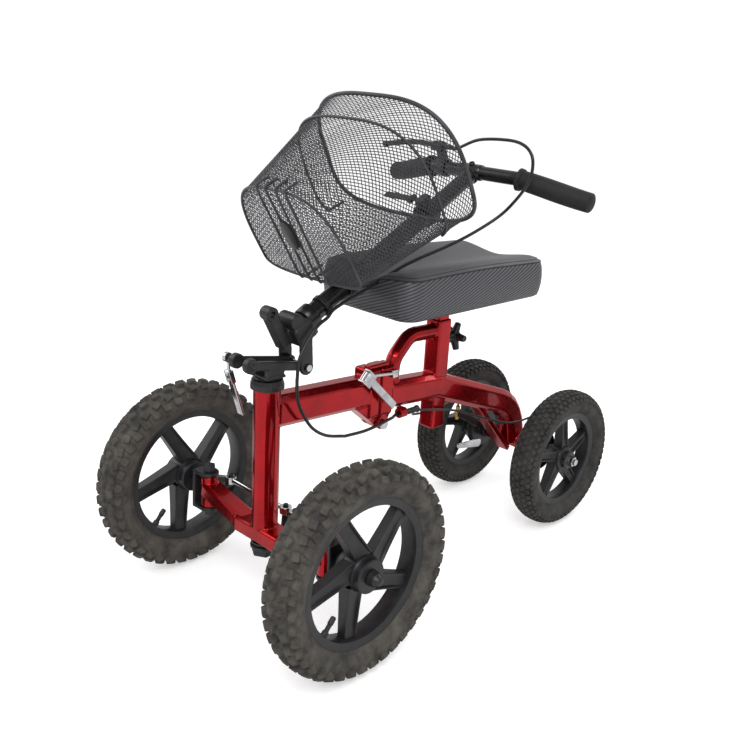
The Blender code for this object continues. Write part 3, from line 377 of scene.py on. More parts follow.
def sweep(name, path, radii, sides=16, cyclic=False, smooth=50):
    # A round bar along the path; radii is one number, or one for each point
    path = [Vector(p) for p in path]
    count = len(path)
    if not isinstance(radii, (list, tuple)):
        radii = [radii] * count
    shape = bmesh.new()
    rings = []
    normal = None
    for n, point in enumerate(path):
        if cyclic:
            ahead, behind = path[(n + 1) % count], path[n - 1]
        else:
            ahead, behind = path[min(n + 1, count - 1)], path[max(n - 1, 0)]
        tangent = (ahead - behind).normalized()
        if normal is None:
            normal = tangent.orthogonal().normalized()
        normal = (normal - tangent * normal.dot(tangent)).normalized()
        other = tangent.cross(normal)
        rings.append([shape.verts.new(point + (normal * cos(2 * pi * k / sides)
                      + other * sin(2 * pi * k / sides)) * radii[n]) for k in range(sides)])
    pairs = list(zip(rings, rings[1:]))
    if cyclic:
        pairs.append((rings[-1], rings[0]))
    for here, ahead in pairs:
        for k in range(sides):
            m = (k + 1) % sides
            shape.faces.new((here[k], here[m], ahead[m], ahead[k]))
    if not cyclic:
        shape.faces.new(rings[0])
        shape.faces.new(rings[-1])
    return fromBmesh(name, shape, smooth)


def smoothPath(corners, steps):
    corners = [Vector(corner) for corner in corners]
    corners = [2 * corners[0] - corners[1]] + corners + [2 * corners[-1] - corners[-2]]
    path = []
    for a, b, c, d in zip(corners, corners[1:], corners[2:], corners[3:]):
        for step in range(steps):
            t = step / steps
            path.append(0.5 * (2 * b + (c - a) * t + (2 * a - 5 * b + 4 * c - d) * t ** 2
                               + (3 * b - a - 3 * c + d) * t ** 3))
    return path + [corners[-2]]


def joined(name, pieces):
    shape = bmesh.new()
    for piece in pieces:
        shape.from_mesh(piece.data)
        bpy.data.objects.remove(piece, do_unlink=True)
    return fromBmesh(name, shape)


def cast(node, voxel, rounds, look, slotName):
    # The same solid with its edges and inner corners eased, as on a casting or a welded tube
    mesh = nodes[node].data.copy()
    shape = bmesh.new()
    shape.from_mesh(mesh)
    bmesh.ops.remove_doubles(shape, verts=shape.verts, dist=1e-5)
    shape.to_mesh(mesh)
    shape.free()
    piece = linked(node + "_finished", mesh)
    grid = piece.modifiers.new("grid", "REMESH")
    grid.mode = "VOXEL"
    grid.voxel_size = voxel
    ease = piece.modifiers.new("ease", "SMOOTH")
    ease.factor = 0.5
    ease.iterations = rounds
    piece = settled(piece)
    piece.data.shade_smooth()
    return place(piece, bodyOf(node), slotName, node, look=look)


def scattered(name, points, turns, pattern, look):
    # Geometry Nodes: one copy of the pattern at each point, turned by the point's own angles
    mesh = bpy.data.meshes.new(name + "_points")
    mesh.from_pydata([tuple(p) for p in points], [], [])
    turnOf = mesh.attributes.new("turn", "FLOAT_VECTOR", "POINT")
    turnOf.data.foreach_set("vector", [angle for turn in turns for angle in turn])
    holder = linked(name, mesh)
    tree = bpy.data.node_groups.new(name + "_copies", "GeometryNodeTree")
    sockets = tree.interface
    sockets.new_socket("Geometry", in_out="INPUT", socket_type="NodeSocketGeometry")
    patternIn = sockets.new_socket("Pattern", in_out="INPUT", socket_type="NodeSocketObject")
    sizeIn = sockets.new_socket("Size", in_out="INPUT", socket_type="NodeSocketFloat")
    lookIn = sockets.new_socket("Finish", in_out="INPUT", socket_type="NodeSocketMaterial")
    sockets.new_socket("Geometry", in_out="OUTPUT", socket_type="NodeSocketGeometry")
    start = addNode(tree, "NodeGroupInput")
    info = addNode(tree, "GeometryNodeObjectInfo", {"Object": start.outputs["Pattern"]})
    angle = addNode(tree, "GeometryNodeInputNamedAttribute", {"Name": "turn"},
                    data_type="FLOAT_VECTOR")
    copies = addNode(tree, "GeometryNodeInstanceOnPoints", {
        "Points": start.outputs["Geometry"], "Instance": info.outputs["Geometry"],
        "Rotation": angle.outputs["Attribute"], "Scale": start.outputs["Size"]})
    real = addNode(tree, "GeometryNodeRealizeInstances", {"Geometry": copies.outputs["Instances"]})
    finish = addNode(tree, "GeometryNodeSetMaterial", {
        "Geometry": real.outputs["Geometry"], "Material": start.outputs["Finish"]})
    addNode(tree, "NodeGroupOutput", {"Geometry": finish.outputs["Geometry"]})
    change = holder.modifiers.new("copies", "NODES")
    change.node_group = tree
    change[patternIn.identifier] = pattern
    change[sizeIn.identifier] = 1.0
    change[lookIn.identifier] = finishes[look]
    made = settled(holder)
    bpy.data.objects.remove(pattern, do_unlink=True)
    made.data.shade_smooth()
    made.data.set_sharp_from_angle(angle=radians(35))
    return made


# Wheels

frontWheel = {"radius": 0.155, "half": 0.0274, "seat": 0.1095, "knob": 0.0052,
              "around": 42, "rows": (-64, -34, 0, 34, 64), "size": (0.0125, 0.0100),
              "hub": 0.026, "boss": 0.0245, "spokes": 5, "firstSpoke": 108,
              "spokeWide": (0.0290, 0.0230), "spokeLean": 0.022, "valve": -130}
rearWheel = {"radius": 0.127, "half": 0.0240, "seat": 0.0885, "knob": 0.0034,
             "around": 60, "rows": (-66, -44, -20, 0, 20, 44, 66), "size": (0.0085, 0.0062),
             "hub": 0.022, "boss": 0.0170, "spokes": 5, "firstSpoke": 90,
             "spokeWide": (0.0210, 0.0165), "spokeLean": 0.008, "valve": -54}
spokeDeep = (0.0200, 0.0150)


def knobBlock(length, width, height):
    # A moulded tread block: wider at its root, with an eased top
    shape = bmesh.new()
    levels = [(1.12, -0.0016), (1.0, height * 0.75), (0.86, height)]
    rings = []
    for share, z in levels:
        l, w = length / 2 * share, width / 2 * share
        rings.append([shape.verts.new((x, y, z)) for x, y in
                      ((-l, -w * 0.75), (-l * 0.8, -w), (l * 0.8, -w), (l, -w * 0.75),
                       (l, w * 0.75), (l * 0.8, w), (-l * 0.8, w), (-l, w * 0.75))])
    for here, ahead in zip(rings, rings[1:]):
        for k in range(8):
            m = (k + 1) % 8
            shape.faces.new((here[k], here[m], ahead[m], ahead[k]))
    shape.faces.new(rings[0][::-1])
    shape.faces.new(rings[-1])
    return fromBmesh("block", shape)


def tyre(end, side, sizes, look):
    node = f"{end}_tyre_{side}"
    low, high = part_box(node)
    centre = (low + high) / 2
    casing = sizes["radius"] - sizes["knob"]
    middle = sizes["seat"] + 0.50 * (casing - sizes["seat"])
    height = casing - middle
    half = sizes["half"] - 0.0004
    top = [(middle + height * sin(radians(a)) ** 0.9 if a else middle,
            half * (cos(radians(a)) ** 0.85 if a < 90 else 0.0)) for a in range(0, 91, 10)]
    lower = []
    for k in (0.15, 0.3, 0.42, 0.5, 0.58, 0.75, 0.9, 1.0):
        ridge = 0.0007 if k == 0.5 else 0.0
        lower.append((middle - (middle - sizes["seat"]) * k, half * (1 - 0.36 * k ** 2.2) + ridge))
    flank = lower[::-1] + top
    profile = flank + [(r, -x) for r, x in flank[-2::-1]]
    body = revolve("casing", centre, xAxis, profile, 120, 60)
    points, turns = [], []
    for row, angle in enumerate(sizes["rows"]):
        a = radians(90 - abs(angle))
        radius = middle + height * sin(a) ** 0.9
        across = half * cos(a) ** 0.85 * (1 if angle > 0 else -1 if angle < 0 else 0)
        for n in range(sizes["around"]):
            turn = 2 * pi * (n + 0.5 * (row % 2)) / sizes["around"]
            points.append(centre + Vector((across, radius * cos(turn), radius * sin(turn))))
            spin = Matrix.Rotation(turn - pi / 2, 3, "X")
            lean = Matrix.Rotation(radians(angle * 0.86), 3, "Y")
            skew = Matrix.Rotation(radians(90 + (14 if row % 2 else -14)), 3, "Z")
            turns.append(tuple((spin @ lean @ skew).to_euler()))
    length, width = sizes["size"]
    knobs = scattered("knobs", points, turns, knobBlock(length, width, sizes["knob"]), look)
    whole = joined(f"{end}_tyre_tread_{side}", [body, knobs])
    place(whole, bodyOf(node), "tyre_rubber", node, look=look)


def spokeShape(inner, outer, centre, turn, wide, deep, lean):
    # Broad channelled spoke, set off sideways by lean: a raised rim round a sunk middle on both faces
    radial = Vector((0, cos(turn), sin(turn)))
    tangent = Vector((0, -sin(turn), cos(turn)))
    shape = bmesh.new()
    rings = []
    for t in (0.0, 0.12, 0.3, 0.5, 0.7, 0.88, 1.0):
        r = inner + (outer - inner) * t
        w = (wide[0] + (wide[1] - wide[0]) * t - 0.0012 * sin(pi * t)) / 2
        d = (deep[0] + (deep[1] - deep[0]) * t) / 2
        sunk = d - 0.0040 * min(1.0, 6 * t * (1.0 - t))
        lip = min(0.0026, w * 0.3)
        section = [(-w, -d * 0.9), (-w + 0.0008, -d), (-w + lip, -d), (-w + lip * 1.6, -sunk),
                   (w - lip * 1.6, -sunk), (w - lip, -d), (w - 0.0008, -d), (w, -d * 0.9)]
        section += [(a, -b) for a, b in reversed(section)]
        slant = lean * (t - 0.35)
        rings.append([shape.verts.new(centre + radial * r + tangent * (a + slant) + xAxis * b)
                      for a, b in section])
    for here, ahead in zip(rings, rings[1:]):
        for k in range(len(here)):
            m = (k + 1) % len(here)
            shape.faces.new((here[k], here[m], ahead[m], ahead[k]))
    shape.faces.new(rings[0])
    shape.faces.new(rings[-1])
    return fromBmesh("spoke", shape)


def rim(end, side, sizes):
    node = f"{end}_rim_{side}"
    low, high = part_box(node)
    centre = (low + high) / 2
    seat = sizes["seat"] - 0.0003
    half = sizes["half"] * 0.62
    inner = seat - 0.0125
    hoop = [(inner, -half * 0.55), (inner + 0.0015, -half * 0.85), (seat - 0.004, -half + 0.0006),
            (seat - 0.001, -half), (seat, -half), (seat, half), (seat - 0.001, half),
            (seat - 0.004, half - 0.0006), (inner + 0.0015, half * 0.85), (inner, half * 0.55)]
    pieces = [revolve("hoop", centre, xAxis, hoop)]
    hubRadius, bossRadius = sizes["hub"], sizes["boss"]
    hub = [(0.0070, -0.0240), (bossRadius - 0.002, -0.0240), (bossRadius, -0.0225),
           (bossRadius, -0.0150), (hubRadius, -0.0125), (hubRadius + 0.001, -0.0105),
           (hubRadius + 0.001, 0.0105), (hubRadius, 0.0125), (bossRadius, 0.0150),
           (bossRadius, 0.0225), (bossRadius - 0.002, 0.0240), (0.0070, 0.0240)]
    pieces.append(revolve("hub", centre, xAxis, hub, 64))
    for number in range(sizes["spokes"]):
        turn = radians(sizes["firstSpoke"] + 360 / sizes["spokes"] * number)
        pieces.append(spokeShape(hubRadius - 0.004, inner + 0.003, centre, turn,
                                 sizes["spokeWide"], spokeDeep, sizes["spokeLean"]))
    valveTurn = radians(sizes["valve"])
    away = Vector((0, cos(valveTurn), sin(valveTurn)))
    stemTop = centre + away * (inner + 0.002) + xAxis * 0.002
    pieces.append(sweep("valve", [stemTop, stemTop - away * 0.008, stemTop - away * 0.009,
                                  stemTop - away * 0.018, stemTop - away * 0.019,
                                  stemTop - away * 0.028, stemTop - away * 0.030],
                        [0.0052, 0.0046, 0.0034, 0.0034, 0.0042, 0.0040, 0.0026], 16))
    place(joined(f"{end}_wheel_{side}", pieces), bodyOf(node), "black_plastic", node, look="nylon")


for side in ("L", "R"):
    tyre("front", side, frontWheel, "frontTyre")
    tyre("rear", side, rearWheel, "rearTyre")
    rim("front", side, frontWheel)
    rim("rear", side, rearWheel)
print("wheels ready")

# Red frame

for node, look, slotName, voxel, rounds in (
        ("front_frame", "red", "red_paint", 0.0012, 8),
        ("rear_frame", "red", "red_paint", 0.0013, 8),
        ("seat_post", "red", "red_paint", 0.0012, 5),
        ("cable_boss", "red", "red_paint", 0.0006, 4),
        ("frame_latch_catch", "red", "red_paint", 0.0007, 4),
        ("steerer", "satin", "black_coat", 0.0010, 5),
        ("stem_base", "satin", "black_coat", 0.0008, 4),
        ("stem_link", "satin", "black_coat", 0.0010, 5),
        ("knuckle_L", "satin", "black_coat", 0.0010, 4),
        ("knuckle_R", "satin", "black_coat", 0.0010, 4),
        ("height_clamp", "gloss", "black_coat", 0.0007, 4),
        ("basket_bracket", "satin", "black_coat", 0.0009, 4),
        ("brake_bracket", "satin", "black_coat", 0.0007, 4),
        ("brake_lever", "satin", "black_coat", 0.0007, 5),
        ("seat_knob", "nylon", "black_plastic", 0.0007, 5),
        ("cable_clip", "nylon", "black_plastic", 0.0006, 3),
        ("frame_latch_lever", "aluminium", "aluminium", 0.0005, 4),
        ("frame_latch_bolt", "chrome", "polished_steel", 0.0005, 4),
        ("stem_latch_lever", "chrome", "polished_steel", 0.0005, 4),
        ("stem_latch_link", "chrome", "polished_steel", 0.0005, 4),
        ("height_lever", "satin", "black_coat", 0.0006, 4),
        ("tie_rod_L", "chrome", "polished_steel", 0.0007, 4),
        ("tie_rod_R", "chrome", "polished_steel", 0.0007, 4),
        ("axle_cap_L", "nylon", "black_plastic", 0.0006, 4),
        ("axle_cap_R", "nylon", "black_plastic", 0.0006, 4),
        ("rear_brake_arm_L", "chrome", "polished_steel", 0.0006, 3),
        ("rear_brake_arm_R", "chrome", "polished_steel", 0.0006, 3),
        ("rear_brake_plate_L", "satin", "black_coat", 0.0009, 3),
        ("rear_brake_plate_R", "satin", "black_coat", 0.0009, 3)):
    cast(node, voxel, rounds, look, slotName)

keptNodes = {
    "seat_plate": "satin", "kingpin_L": "satin", "kingpin_R": "satin",
    "headset_cup_upper": "gloss", "headset_cup_lower": "gloss", "frame_fold_pin": "chrome",
    "rear_axle": "chrome", "stem_fold_pin": "chrome",
    "rear_brake_adjuster_L": "zinc", "rear_brake_adjuster_R": "zinc"}
for node, look in keptNodes.items():
    for holder in nodes[node].material_slots:
        holder.material = finishes[look]
print("frame ready")


# Stem and bar

barSizes = {"straight": 0.085, "half": 0.205, "along": 0.409, "sweepAlong": 0.018,
            "sweepBack": 0.037, "radius": 0.011, "gripLength": 0.115, "gripRadius": 0.016}


def barPoint(x):
    t = max(0.0, (abs(x) - barSizes["straight"]) / (barSizes["half"] - barSizes["straight"]))
    ease = t * t * (3 - 2 * t) * 0.35 + t * 0.65
    return onStem(barSizes["along"] + barSizes["sweepAlong"] * ease,
                  -barSizes["sweepBack"] * ease, x)


def stemTubes():
    outer = revolve("stem_outer_sleeve", onStem(0), stemDir, [
        (0.0143, 0.298), (0.0143, 0.022), (0.0150, 0.0205), (0.0184, 0.0200), (0.0190, 0.0190),
        (0.0190, 0.0030), (0.0180, 0.0015), (0.0123, 0.0015), (0.0123, 0.0315), (0.0130, 0.0315),
        (0.0130, 0.298)], 72)
    ear = sweep("ear", [onStem(0.011, -0.0165), onStem(0.011, -0.0285)], [0.0062, 0.0056], 20)
    place(joined("stem_outer_finished", [outer, ear]), bodyOf("stem_outer_tube"), "black_coat",
          "stem_outer_tube", look="gloss")
    inner = sweep("stem_inner_finished", [onStem(0.150), onStem(0.290), onStem(0.396)], 0.0127, 64)
    place(inner, bodyOf("stem_inner_tube"), "black_coat", "stem_inner_tube", look="gloss")
    count = 64
    reach = barSizes["half"] - 0.002
    bar = sweep("bar", [barPoint(-reach + 2 * reach * n / count) for n in range(count + 1)],
                barSizes["radius"], 40)
    head = revolve("head", onStem(barSizes["along"]), stemDir, [
        (0.0, -0.0135), (0.0138, -0.0135), (0.0150, -0.0120), (0.0150, 0.0), (0.0, 0.0)], 48)
    clampRing = revolve("clampRing", onStem(barSizes["along"]), xAxis, [
        (0.0, -0.0175), (0.0112, -0.0175), (0.0128, -0.0155), (0.0128, 0.0155), (0.0112, 0.0175),
        (0.0, 0.0175)], 48)
    bolt = revolve("bolt", onStem(barSizes["along"], 0.0), stemUp, [
        (0.0, 0.006), (0.0050, 0.006), (0.0050, 0.0170), (0.0045, 0.0175), (0.0025, 0.0175),
        (0.0025, 0.0150), (0.0, 0.0150)], 24)
    place(joined("handlebar_finished", [bar, head, clampRing, bolt]), bodyOf("handlebar"),
          "black_coat", "handlebar", look="gloss")


def grip(side, sign):
    start = barSizes["half"] - barSizes["gripLength"]
    end = barSizes["half"] + 0.003
    path, radii = [], []
    steps = 150
    for n in range(steps + 1):
        t = n / steps
        x = start + (end - start) * t
        path.append(barPoint(sign * x))
        r = barSizes["gripRadius"] - 0.0004
        if t < 0.05:
            r = 0.0183 - 0.0008 * (t / 0.05)
        elif t > 0.955:
            r *= sqrt(max(0.02, 1 - ((t - 0.955) / 0.046) ** 2))
        r += 0.0008 * sin(pi * t) - 0.0004
        radii.append(r)
    place(sweep(f"grip_{side}_finished", path, radii, 48), bodyOf("grip_" + side),
          "grip_rubber", "grip_" + side, look="grip")


stemTubes()
grip("L", 1)
grip("R", -1)
print("stem ready")


# Knee pad

padSizes = {"corner": 0.028, "low": 0.4425, "side": 0.5140, "rear": 0.5105, "trough": 0.0115,
            "stemDip": 0.0130, "lip": 0.0065}


def padOutline(halfX, halfY, corner, count=200):
    # Points round a rounded rectangle, evenly spaced, with the length walked so far
    straightX, straightY = 2 * (halfX - corner), 2 * (halfY - corner)
    arc = pi * corner / 2
    total = 2 * (straightX + straightY) + 4 * arc
    points = []
    for n in range(count):
        s = total * n / count
        for k, (run, turn) in enumerate(((straightY, 0), (straightX, 90), (straightY, 180),
                                         (straightX, 270))):
            if s < run:
                local = Vector((halfX if k % 2 == 0 else halfY, s - run / 2, 0))
                break
            s -= run
            if s < arc:
                a = s / corner
                local = Vector(((halfX if k % 2 == 0 else halfY) - corner + corner * cos(a),
                                run / 2 + corner * sin(a), 0))
                break
            s -= arc
        spun = Matrix.Rotation(radians(turn), 3, "Z") @ local
        points.append((spun.x, spun.y))
    return points, total


def eased(t):
    t = max(0.0, min(1.0, t))
    return t * t * (3 - 2 * t)


def topHeight(x, y, halfX, halfY):
    # Two long ridges along the sides, a shin trough between, dipped in front where the stem lies
    u, v = abs(x) / halfX, y / halfY
    side = padSizes["side"] + (padSizes["rear"] - padSizes["side"]) * eased((v + 1) / 2)
    trough = padSizes["trough"] * (1 - eased(u / 0.80))
    dip = padSizes["stemDip"] * (1 - eased(u / 0.42)) * (1 - eased((v + 1) / 0.42))
    return side + 0.0020 * cos(pi * v * 0.9) * eased(u * 1.3) - trough - dip


def kneePad():
    low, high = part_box("knee_pad")
    centre = (low + high) / 2
    middle = centre.xy.to_3d()
    halfX, halfY = (high.x - low.x) / 2 - 0.001, (high.y - low.y) / 2 - 0.001
    corner, floorZ, lip = padSizes["corner"], padSizes["low"], padSizes["lip"]
    shape = bmesh.new()
    mapped = shape.loops.layers.uv.new("sideMap")
    walls = [(0.014, 0.0), (0.0060, 0.005), (0.0022, 0.05), (0.0004, 0.16), (-0.0012, 0.36),
             (-0.0014, 0.58), (-0.0002, 0.80), (0.0016, 0.93), (0.0034, 0.985), (0.0040, 0.990),
             (0.0048, 1.0)]
    tops = [0.0064, 0.0086, 0.0115, 0.0150, 0.020, 0.026, 0.033, 0.041, 0.050, 0.060, 0.071,
            0.083, 0.0945]
    rings = []
    for inset, share in walls:
        outline, total = padOutline(halfX - inset, halfY - inset, corner - inset * 0.5)
        rings.append([shape.verts.new(middle + Vector((
            x, y, floorZ + (topHeight(x, y, halfX, halfY) - lip - floorZ) * share)))
            for x, y in outline])
    for inset in tops:
        outline, total = padOutline(halfX - inset, halfY - inset,
                                    max(0.0015, corner - inset * 0.75))
        crown = lip * (1 - max(0.0, 1 - (inset - 0.0048) / 0.017) ** 2)
        rings.append([shape.verts.new(middle + Vector((
            x, y, topHeight(x, y, halfX, halfY) - lip + crown))) for x, y in outline])
    for level, (here, ahead) in enumerate(zip(rings, rings[1:])):
        count = len(here)
        for k in range(count):
            m = (k + 1) % count
            face = shape.faces.new((here[k], here[m], ahead[m], ahead[k]))
            face.material_index = 1 if level < len(walls) - 3 else 0
            walk = [k, k + 1, k + 1, k]
            rise = [here[k].co.z, here[m].co.z, ahead[m].co.z, ahead[k].co.z]
            for loop, step, z in zip(face.loops, walk, rise):
                loop[mapped].uv = (total * step / count, z)
    shape.faces.new(rings[0][::-1])
    crown = shape.faces.new(rings[-1])
    bmesh.ops.triangulate(shape, faces=[crown])
    pad = fromBmesh("knee_pad_cover", shape, 60)
    paint(pad, "vinyl", "carbon")
    place(pad, bodyOf("knee_pad"), "pad_vinyl", "knee_pad")

    seam = []
    for x, y in padOutline(halfX - 0.0030, halfY - 0.0030, corner - 0.0015, 620)[0]:
        top = topHeight(x, y, halfX, halfY) - lip
        seam.append(middle + Vector((x, y, floorZ + (top - floorZ) * 0.984)))
    place(sweep("pad_welt", seam, 0.0010, 8, True), bodyOf("knee_pad"), "pad_vinyl", look="thread")
    stitch = sweep("stitch", [(-0.0016, 0, -0.0002), (-0.0009, 0, 0.0004), (0.0009, 0, 0.0004),
                              (0.0016, 0, -0.0002)], 0.00036, 6)
    spots, turns = [], []
    outline, total = padOutline(halfX - 0.0086, halfY - 0.0086, corner - 0.0064, 250)
    crown = lip * (1 - (1 - (0.0086 - 0.0048) / 0.017) ** 2)
    for n, (x, y) in enumerate(outline):
        nx, ny = outline[(n + 1) % len(outline)]
        spots.append(middle + Vector((x, y, topHeight(x, y, halfX, halfY) - lip + crown + 0.0001)))
        turns.append((0.0, 0.0, atan2(ny - y, nx - x)))
    place(scattered("pad_stitches", spots, turns, stitch, "thread"), bodyOf("knee_pad"),
          "pad_vinyl")


kneePad()
print("knee pad ready")


# Basket

basketFloor = {"half": 0.1007, "front": 0.1315, "back": 0.0242, "power": 3.2, "up": 0.0}
basketRim = {"half": 0.1444, "front": 0.1314, "back": 0.0670, "power": 3.1, "up": 0.0091}
basketWire = {"rimHeight": 0.2018, "rimSlope": 0.0726, "strand": 0.00062, "around": 92,
              "rows": 72, "rim": 0.0031, "edge": 0.0020, "brace": 0.0021, "floor": 0.0018,
              "floorStart": -0.1012, "floorStep": 0.0044, "floorRise": 0.0034, "floorRows": 90}
clipPlate = {"half": 0.0115, "halfUp": 0.024, "up": 0.060, "sides": 40}


def basketPoint(turn, share, grow=0.0):
    mixed = {key: basketFloor[key] + (basketRim[key] - basketFloor[key]) * share
             for key in basketFloor}
    c, s = cos(turn), sin(turn)
    power = 2 / mixed["power"]
    depth = (mixed["front"] if s > 0 else mixed["back"]) + grow
    x = (mixed["half"] + grow) * abs(c) ** power * (1 if c > 0 else -1)
    up = mixed["up"] + depth * abs(s) ** power * (1 if s > 0 else -1)
    return onBasket(share * (basketWire["rimHeight"] + basketWire["rimSlope"] * up), up, x)


def evenTurns(count):
    # Angles that space points evenly round the middle height of the basket
    fine = 2400
    turns = [2 * pi * (n + 0.5) / fine for n in range(fine)]
    points = [basketPoint(turn, 0.6) for turn in turns]
    walked = [0.0]
    for a, b in zip(points, points[1:] + points[:1]):
        walked.append(walked[-1] + (b - a).length)
    found, place = [], 0
    for n in range(count):
        goal = walked[-1] * n / count
        while walked[place + 1] < goal:
            place += 1
        found.append(turns[place])
    return found


def expandedMesh():
    # Slit-and-stretched sheet: two families of slanting strands that cross at every half row
    around, rows = basketWire["around"], basketWire["rows"]
    turns = evenTurns(around * 2)
    vertices, edges = [], []
    for family in (1, -1):
        for strand in range(around):
            for row in range(rows + 1):
                index = (2 * strand + family * row) % (2 * around)
                weave = 0.0002 * family * (1 if row % 2 else -1)
                vertices.append(basketPoint(turns[index], row / rows, weave))
                if row:
                    edges.append((len(vertices) - 2, len(vertices) - 1))
    stepX, stepUp = basketWire["floorStep"], basketWire["floorRise"]
    count = basketWire["floorRows"]
    for family in (1, -1):
        for start in range(-count, count):
            last = None
            for k in range(count * 2):
                x = basketWire["floorStart"] + stepX * k
                up = 0.05 + family * stepUp * (k - count) + 2 * stepUp * start
                depth = basketFloor["front"] if up > 0 else basketFloor["back"]
                power = basketFloor["power"]
                inside = (abs(x / basketFloor["half"]) ** power + abs(up / depth) ** power) <= 1
                if inside:
                    vertices.append(onBasket(0.0, up, x))
                    if last is not None:
                        edges.append((last, len(vertices) - 1))
                    last = len(vertices) - 1
                else:
                    last = None
    mesh = bpy.data.meshes.new("strands")
    mesh.from_pydata([tuple(v) for v in vertices], edges, [])
    holder = linked("basket_mesh", mesh)
    tree = bpy.data.node_groups.new("strand_to_wire", "GeometryNodeTree")
    sockets = tree.interface
    sockets.new_socket("Geometry", in_out="INPUT", socket_type="NodeSocketGeometry")
    thickIn = sockets.new_socket("Strand Radius", in_out="INPUT", socket_type="NodeSocketFloat")
    lookIn = sockets.new_socket("Finish", in_out="INPUT", socket_type="NodeSocketMaterial")
    sockets.new_socket("Geometry", in_out="OUTPUT", socket_type="NodeSocketGeometry")
    start = addNode(tree, "NodeGroupInput")
    curves = addNode(tree, "GeometryNodeMeshToCurve", {"Mesh": start.outputs["Geometry"]})
    ring = addNode(tree, "GeometryNodeCurvePrimitiveCircle", {
        "Resolution": 4, "Radius": start.outputs["Strand Radius"]})
    wires = addNode(tree, "GeometryNodeCurveToMesh", {
        "Curve": curves.outputs["Curve"], "Profile Curve": ring.outputs["Curve"],
        "Fill Caps": True})
    real = addNode(tree, "GeometryNodeRealizeInstances", {"Geometry": wires.outputs["Mesh"]})
    finish = addNode(tree, "GeometryNodeSetMaterial", {
        "Geometry": real.outputs["Geometry"], "Material": start.outputs["Finish"]})
    addNode(tree, "NodeGroupOutput", {"Geometry": finish.outputs["Geometry"]})
    change = holder.modifiers.new("wires", "NODES")
    change.node_group = tree
    change[thickIn.identifier] = basketWire["strand"]
    change[lookIn.identifier] = finishes["wire"]
    made = settled(holder)
    made.data.shade_smooth()
    print("basket mesh faces", len(made.data.polygons))
    place(made, bodyOf("basket"), "black_coat", "basket", look="wire")


def basketWires():
    turns = evenTurns(160)
    rimPath = [basketPoint(turn, 1.012, 0.0004) for turn in turns]
    place(sweep("basket_rim_wire", rimPath, basketWire["rim"], 14, True), bodyOf("basket_rim"),
          "black_coat", "basket_rim", look="wire")
    floorPath = [basketPoint(turn, 0.0, 0.0004) for turn in turns]
    pieces = [sweep("floor_edge", floorPath, basketWire["edge"], 10, True)]
    bracePath = [basketPoint(radians(-35 + 250 * n / 90), 0.74, 0.0022) for n in range(91)]
    for end, beyond in ((0, 1), (-1, -2)):
        kink = bracePath[end] + (bracePath[end] - bracePath[beyond]).normalized() * 0.006
        kink += basketDir * 0.030
        bracePath = [kink] + bracePath if end == 0 else bracePath + [kink]
    pieces.append(sweep("brace", bracePath, basketWire["brace"], 10))
    for x in (-0.030, -0.010, 0.010, 0.030):
        run = [onBasket(along, up, x) for along, up in (
            (0.022, 0.1325), (0.004, 0.1350), (-0.0024, 0.1300), (-0.0030, 0.090),
            (-0.0030, 0.020), (-0.0020, -0.022), (0.006, -0.0290), (0.040, -0.0360))]
        pieces.append(sweep("floor_wire", smoothPath(run, 6), basketWire["floor"], 10))
    place(joined("basket_wires", pieces), bodyOf("basket"), "black_coat", look="wire")
    oblong = bmesh.new()
    sides = clipPlate["sides"]
    rings = []
    for grow, along in ((1.0, -0.0045), (1.0, -0.0080), (0.85, -0.0092)):
        ring = []
        for n in range(sides):
            turn = 2 * pi * n / sides
            across = abs(cos(turn)) ** 0.8 * (1 if cos(turn) > 0 else -1)
            upward = abs(sin(turn)) ** 0.8 * (1 if sin(turn) > 0 else -1)
            ring.append(oblong.verts.new(onBasket(
                along, clipPlate["up"] + clipPlate["halfUp"] * grow * upward,
                clipPlate["half"] * grow * across)))
        rings.append(ring)
    for here, ahead in zip(rings, rings[1:]):
        for k in range(sides):
            m = (k + 1) % sides
            oblong.faces.new((here[k], here[m], ahead[m], ahead[k]))
    oblong.faces.new(rings[0])
    oblong.faces.new(rings[-1])
    place(fromBmesh("basket_clip_plate", oblong), bodyOf("basket"), "black_plastic", look="nylon")


expandedMesh()
basketWires()
print("basket ready")


# Brake cable, one housing swept in separate spans that meet at each joint it passes

housing = {"radius": 0.0025, "lead": 0.0020}
toLower = [onStem(0.411, 0.039, -0.0370), onStem(0.411, 0.039, -0.025), at(0.020, 0.402, 0.6934),
           at(0.075, 0.402, 0.6987), at(0.108, 0.400, 0.6950), at(0.127, 0.398, 0.682),
           at(0.132, 0.397, 0.662), at(0.127, 0.397, 0.640), at(0.108, 0.396, 0.612),
           at(0.082, 0.394, 0.584), at(0.064, 0.358, 0.5586), at(0.050, 0.3165, 0.5396),
           at(0.040, 0.260, 0.5234)]
toSteerer = [at(0.040, 0.260, 0.5234), at(0.034, 0.2234, 0.511), at(0.028, 0.1475, 0.4815),
             at(0.026, 0.101, 0.4645), at(0.030, 0.083, 0.4545), at(0.0318, 0.060, 0.443),
             at(0.034, 0.034, 0.414), at(0.036, 0.0255, 0.3965), at(0.038, 0.0225, 0.3780)]
toFront = [at(0.038, 0.0225, 0.3780), at(0.038, 0.0223, 0.3716), at(0.037, 0.0245, 0.350),
           at(0.036, 0.033, 0.3274), at(0.033, 0.057, 0.2941), at(0.032, 0.0874, 0.2732),
           at(0.032, 0.1268, 0.2620)]
toRear = [at(0.032, 0.1268, 0.2620), at(0.032, 0.167, 0.2600), at(0.031, 0.196, 0.2615),
          at(0.0305, 0.215, 0.2640), at(0.029, 0.232, 0.2655), at(0.021, 0.247, 0.2635),
          at(0.0150, 0.2605, 0.2625), at(0.0150, 0.279, 0.2620), at(0.0165, 0.300, 0.2600)]
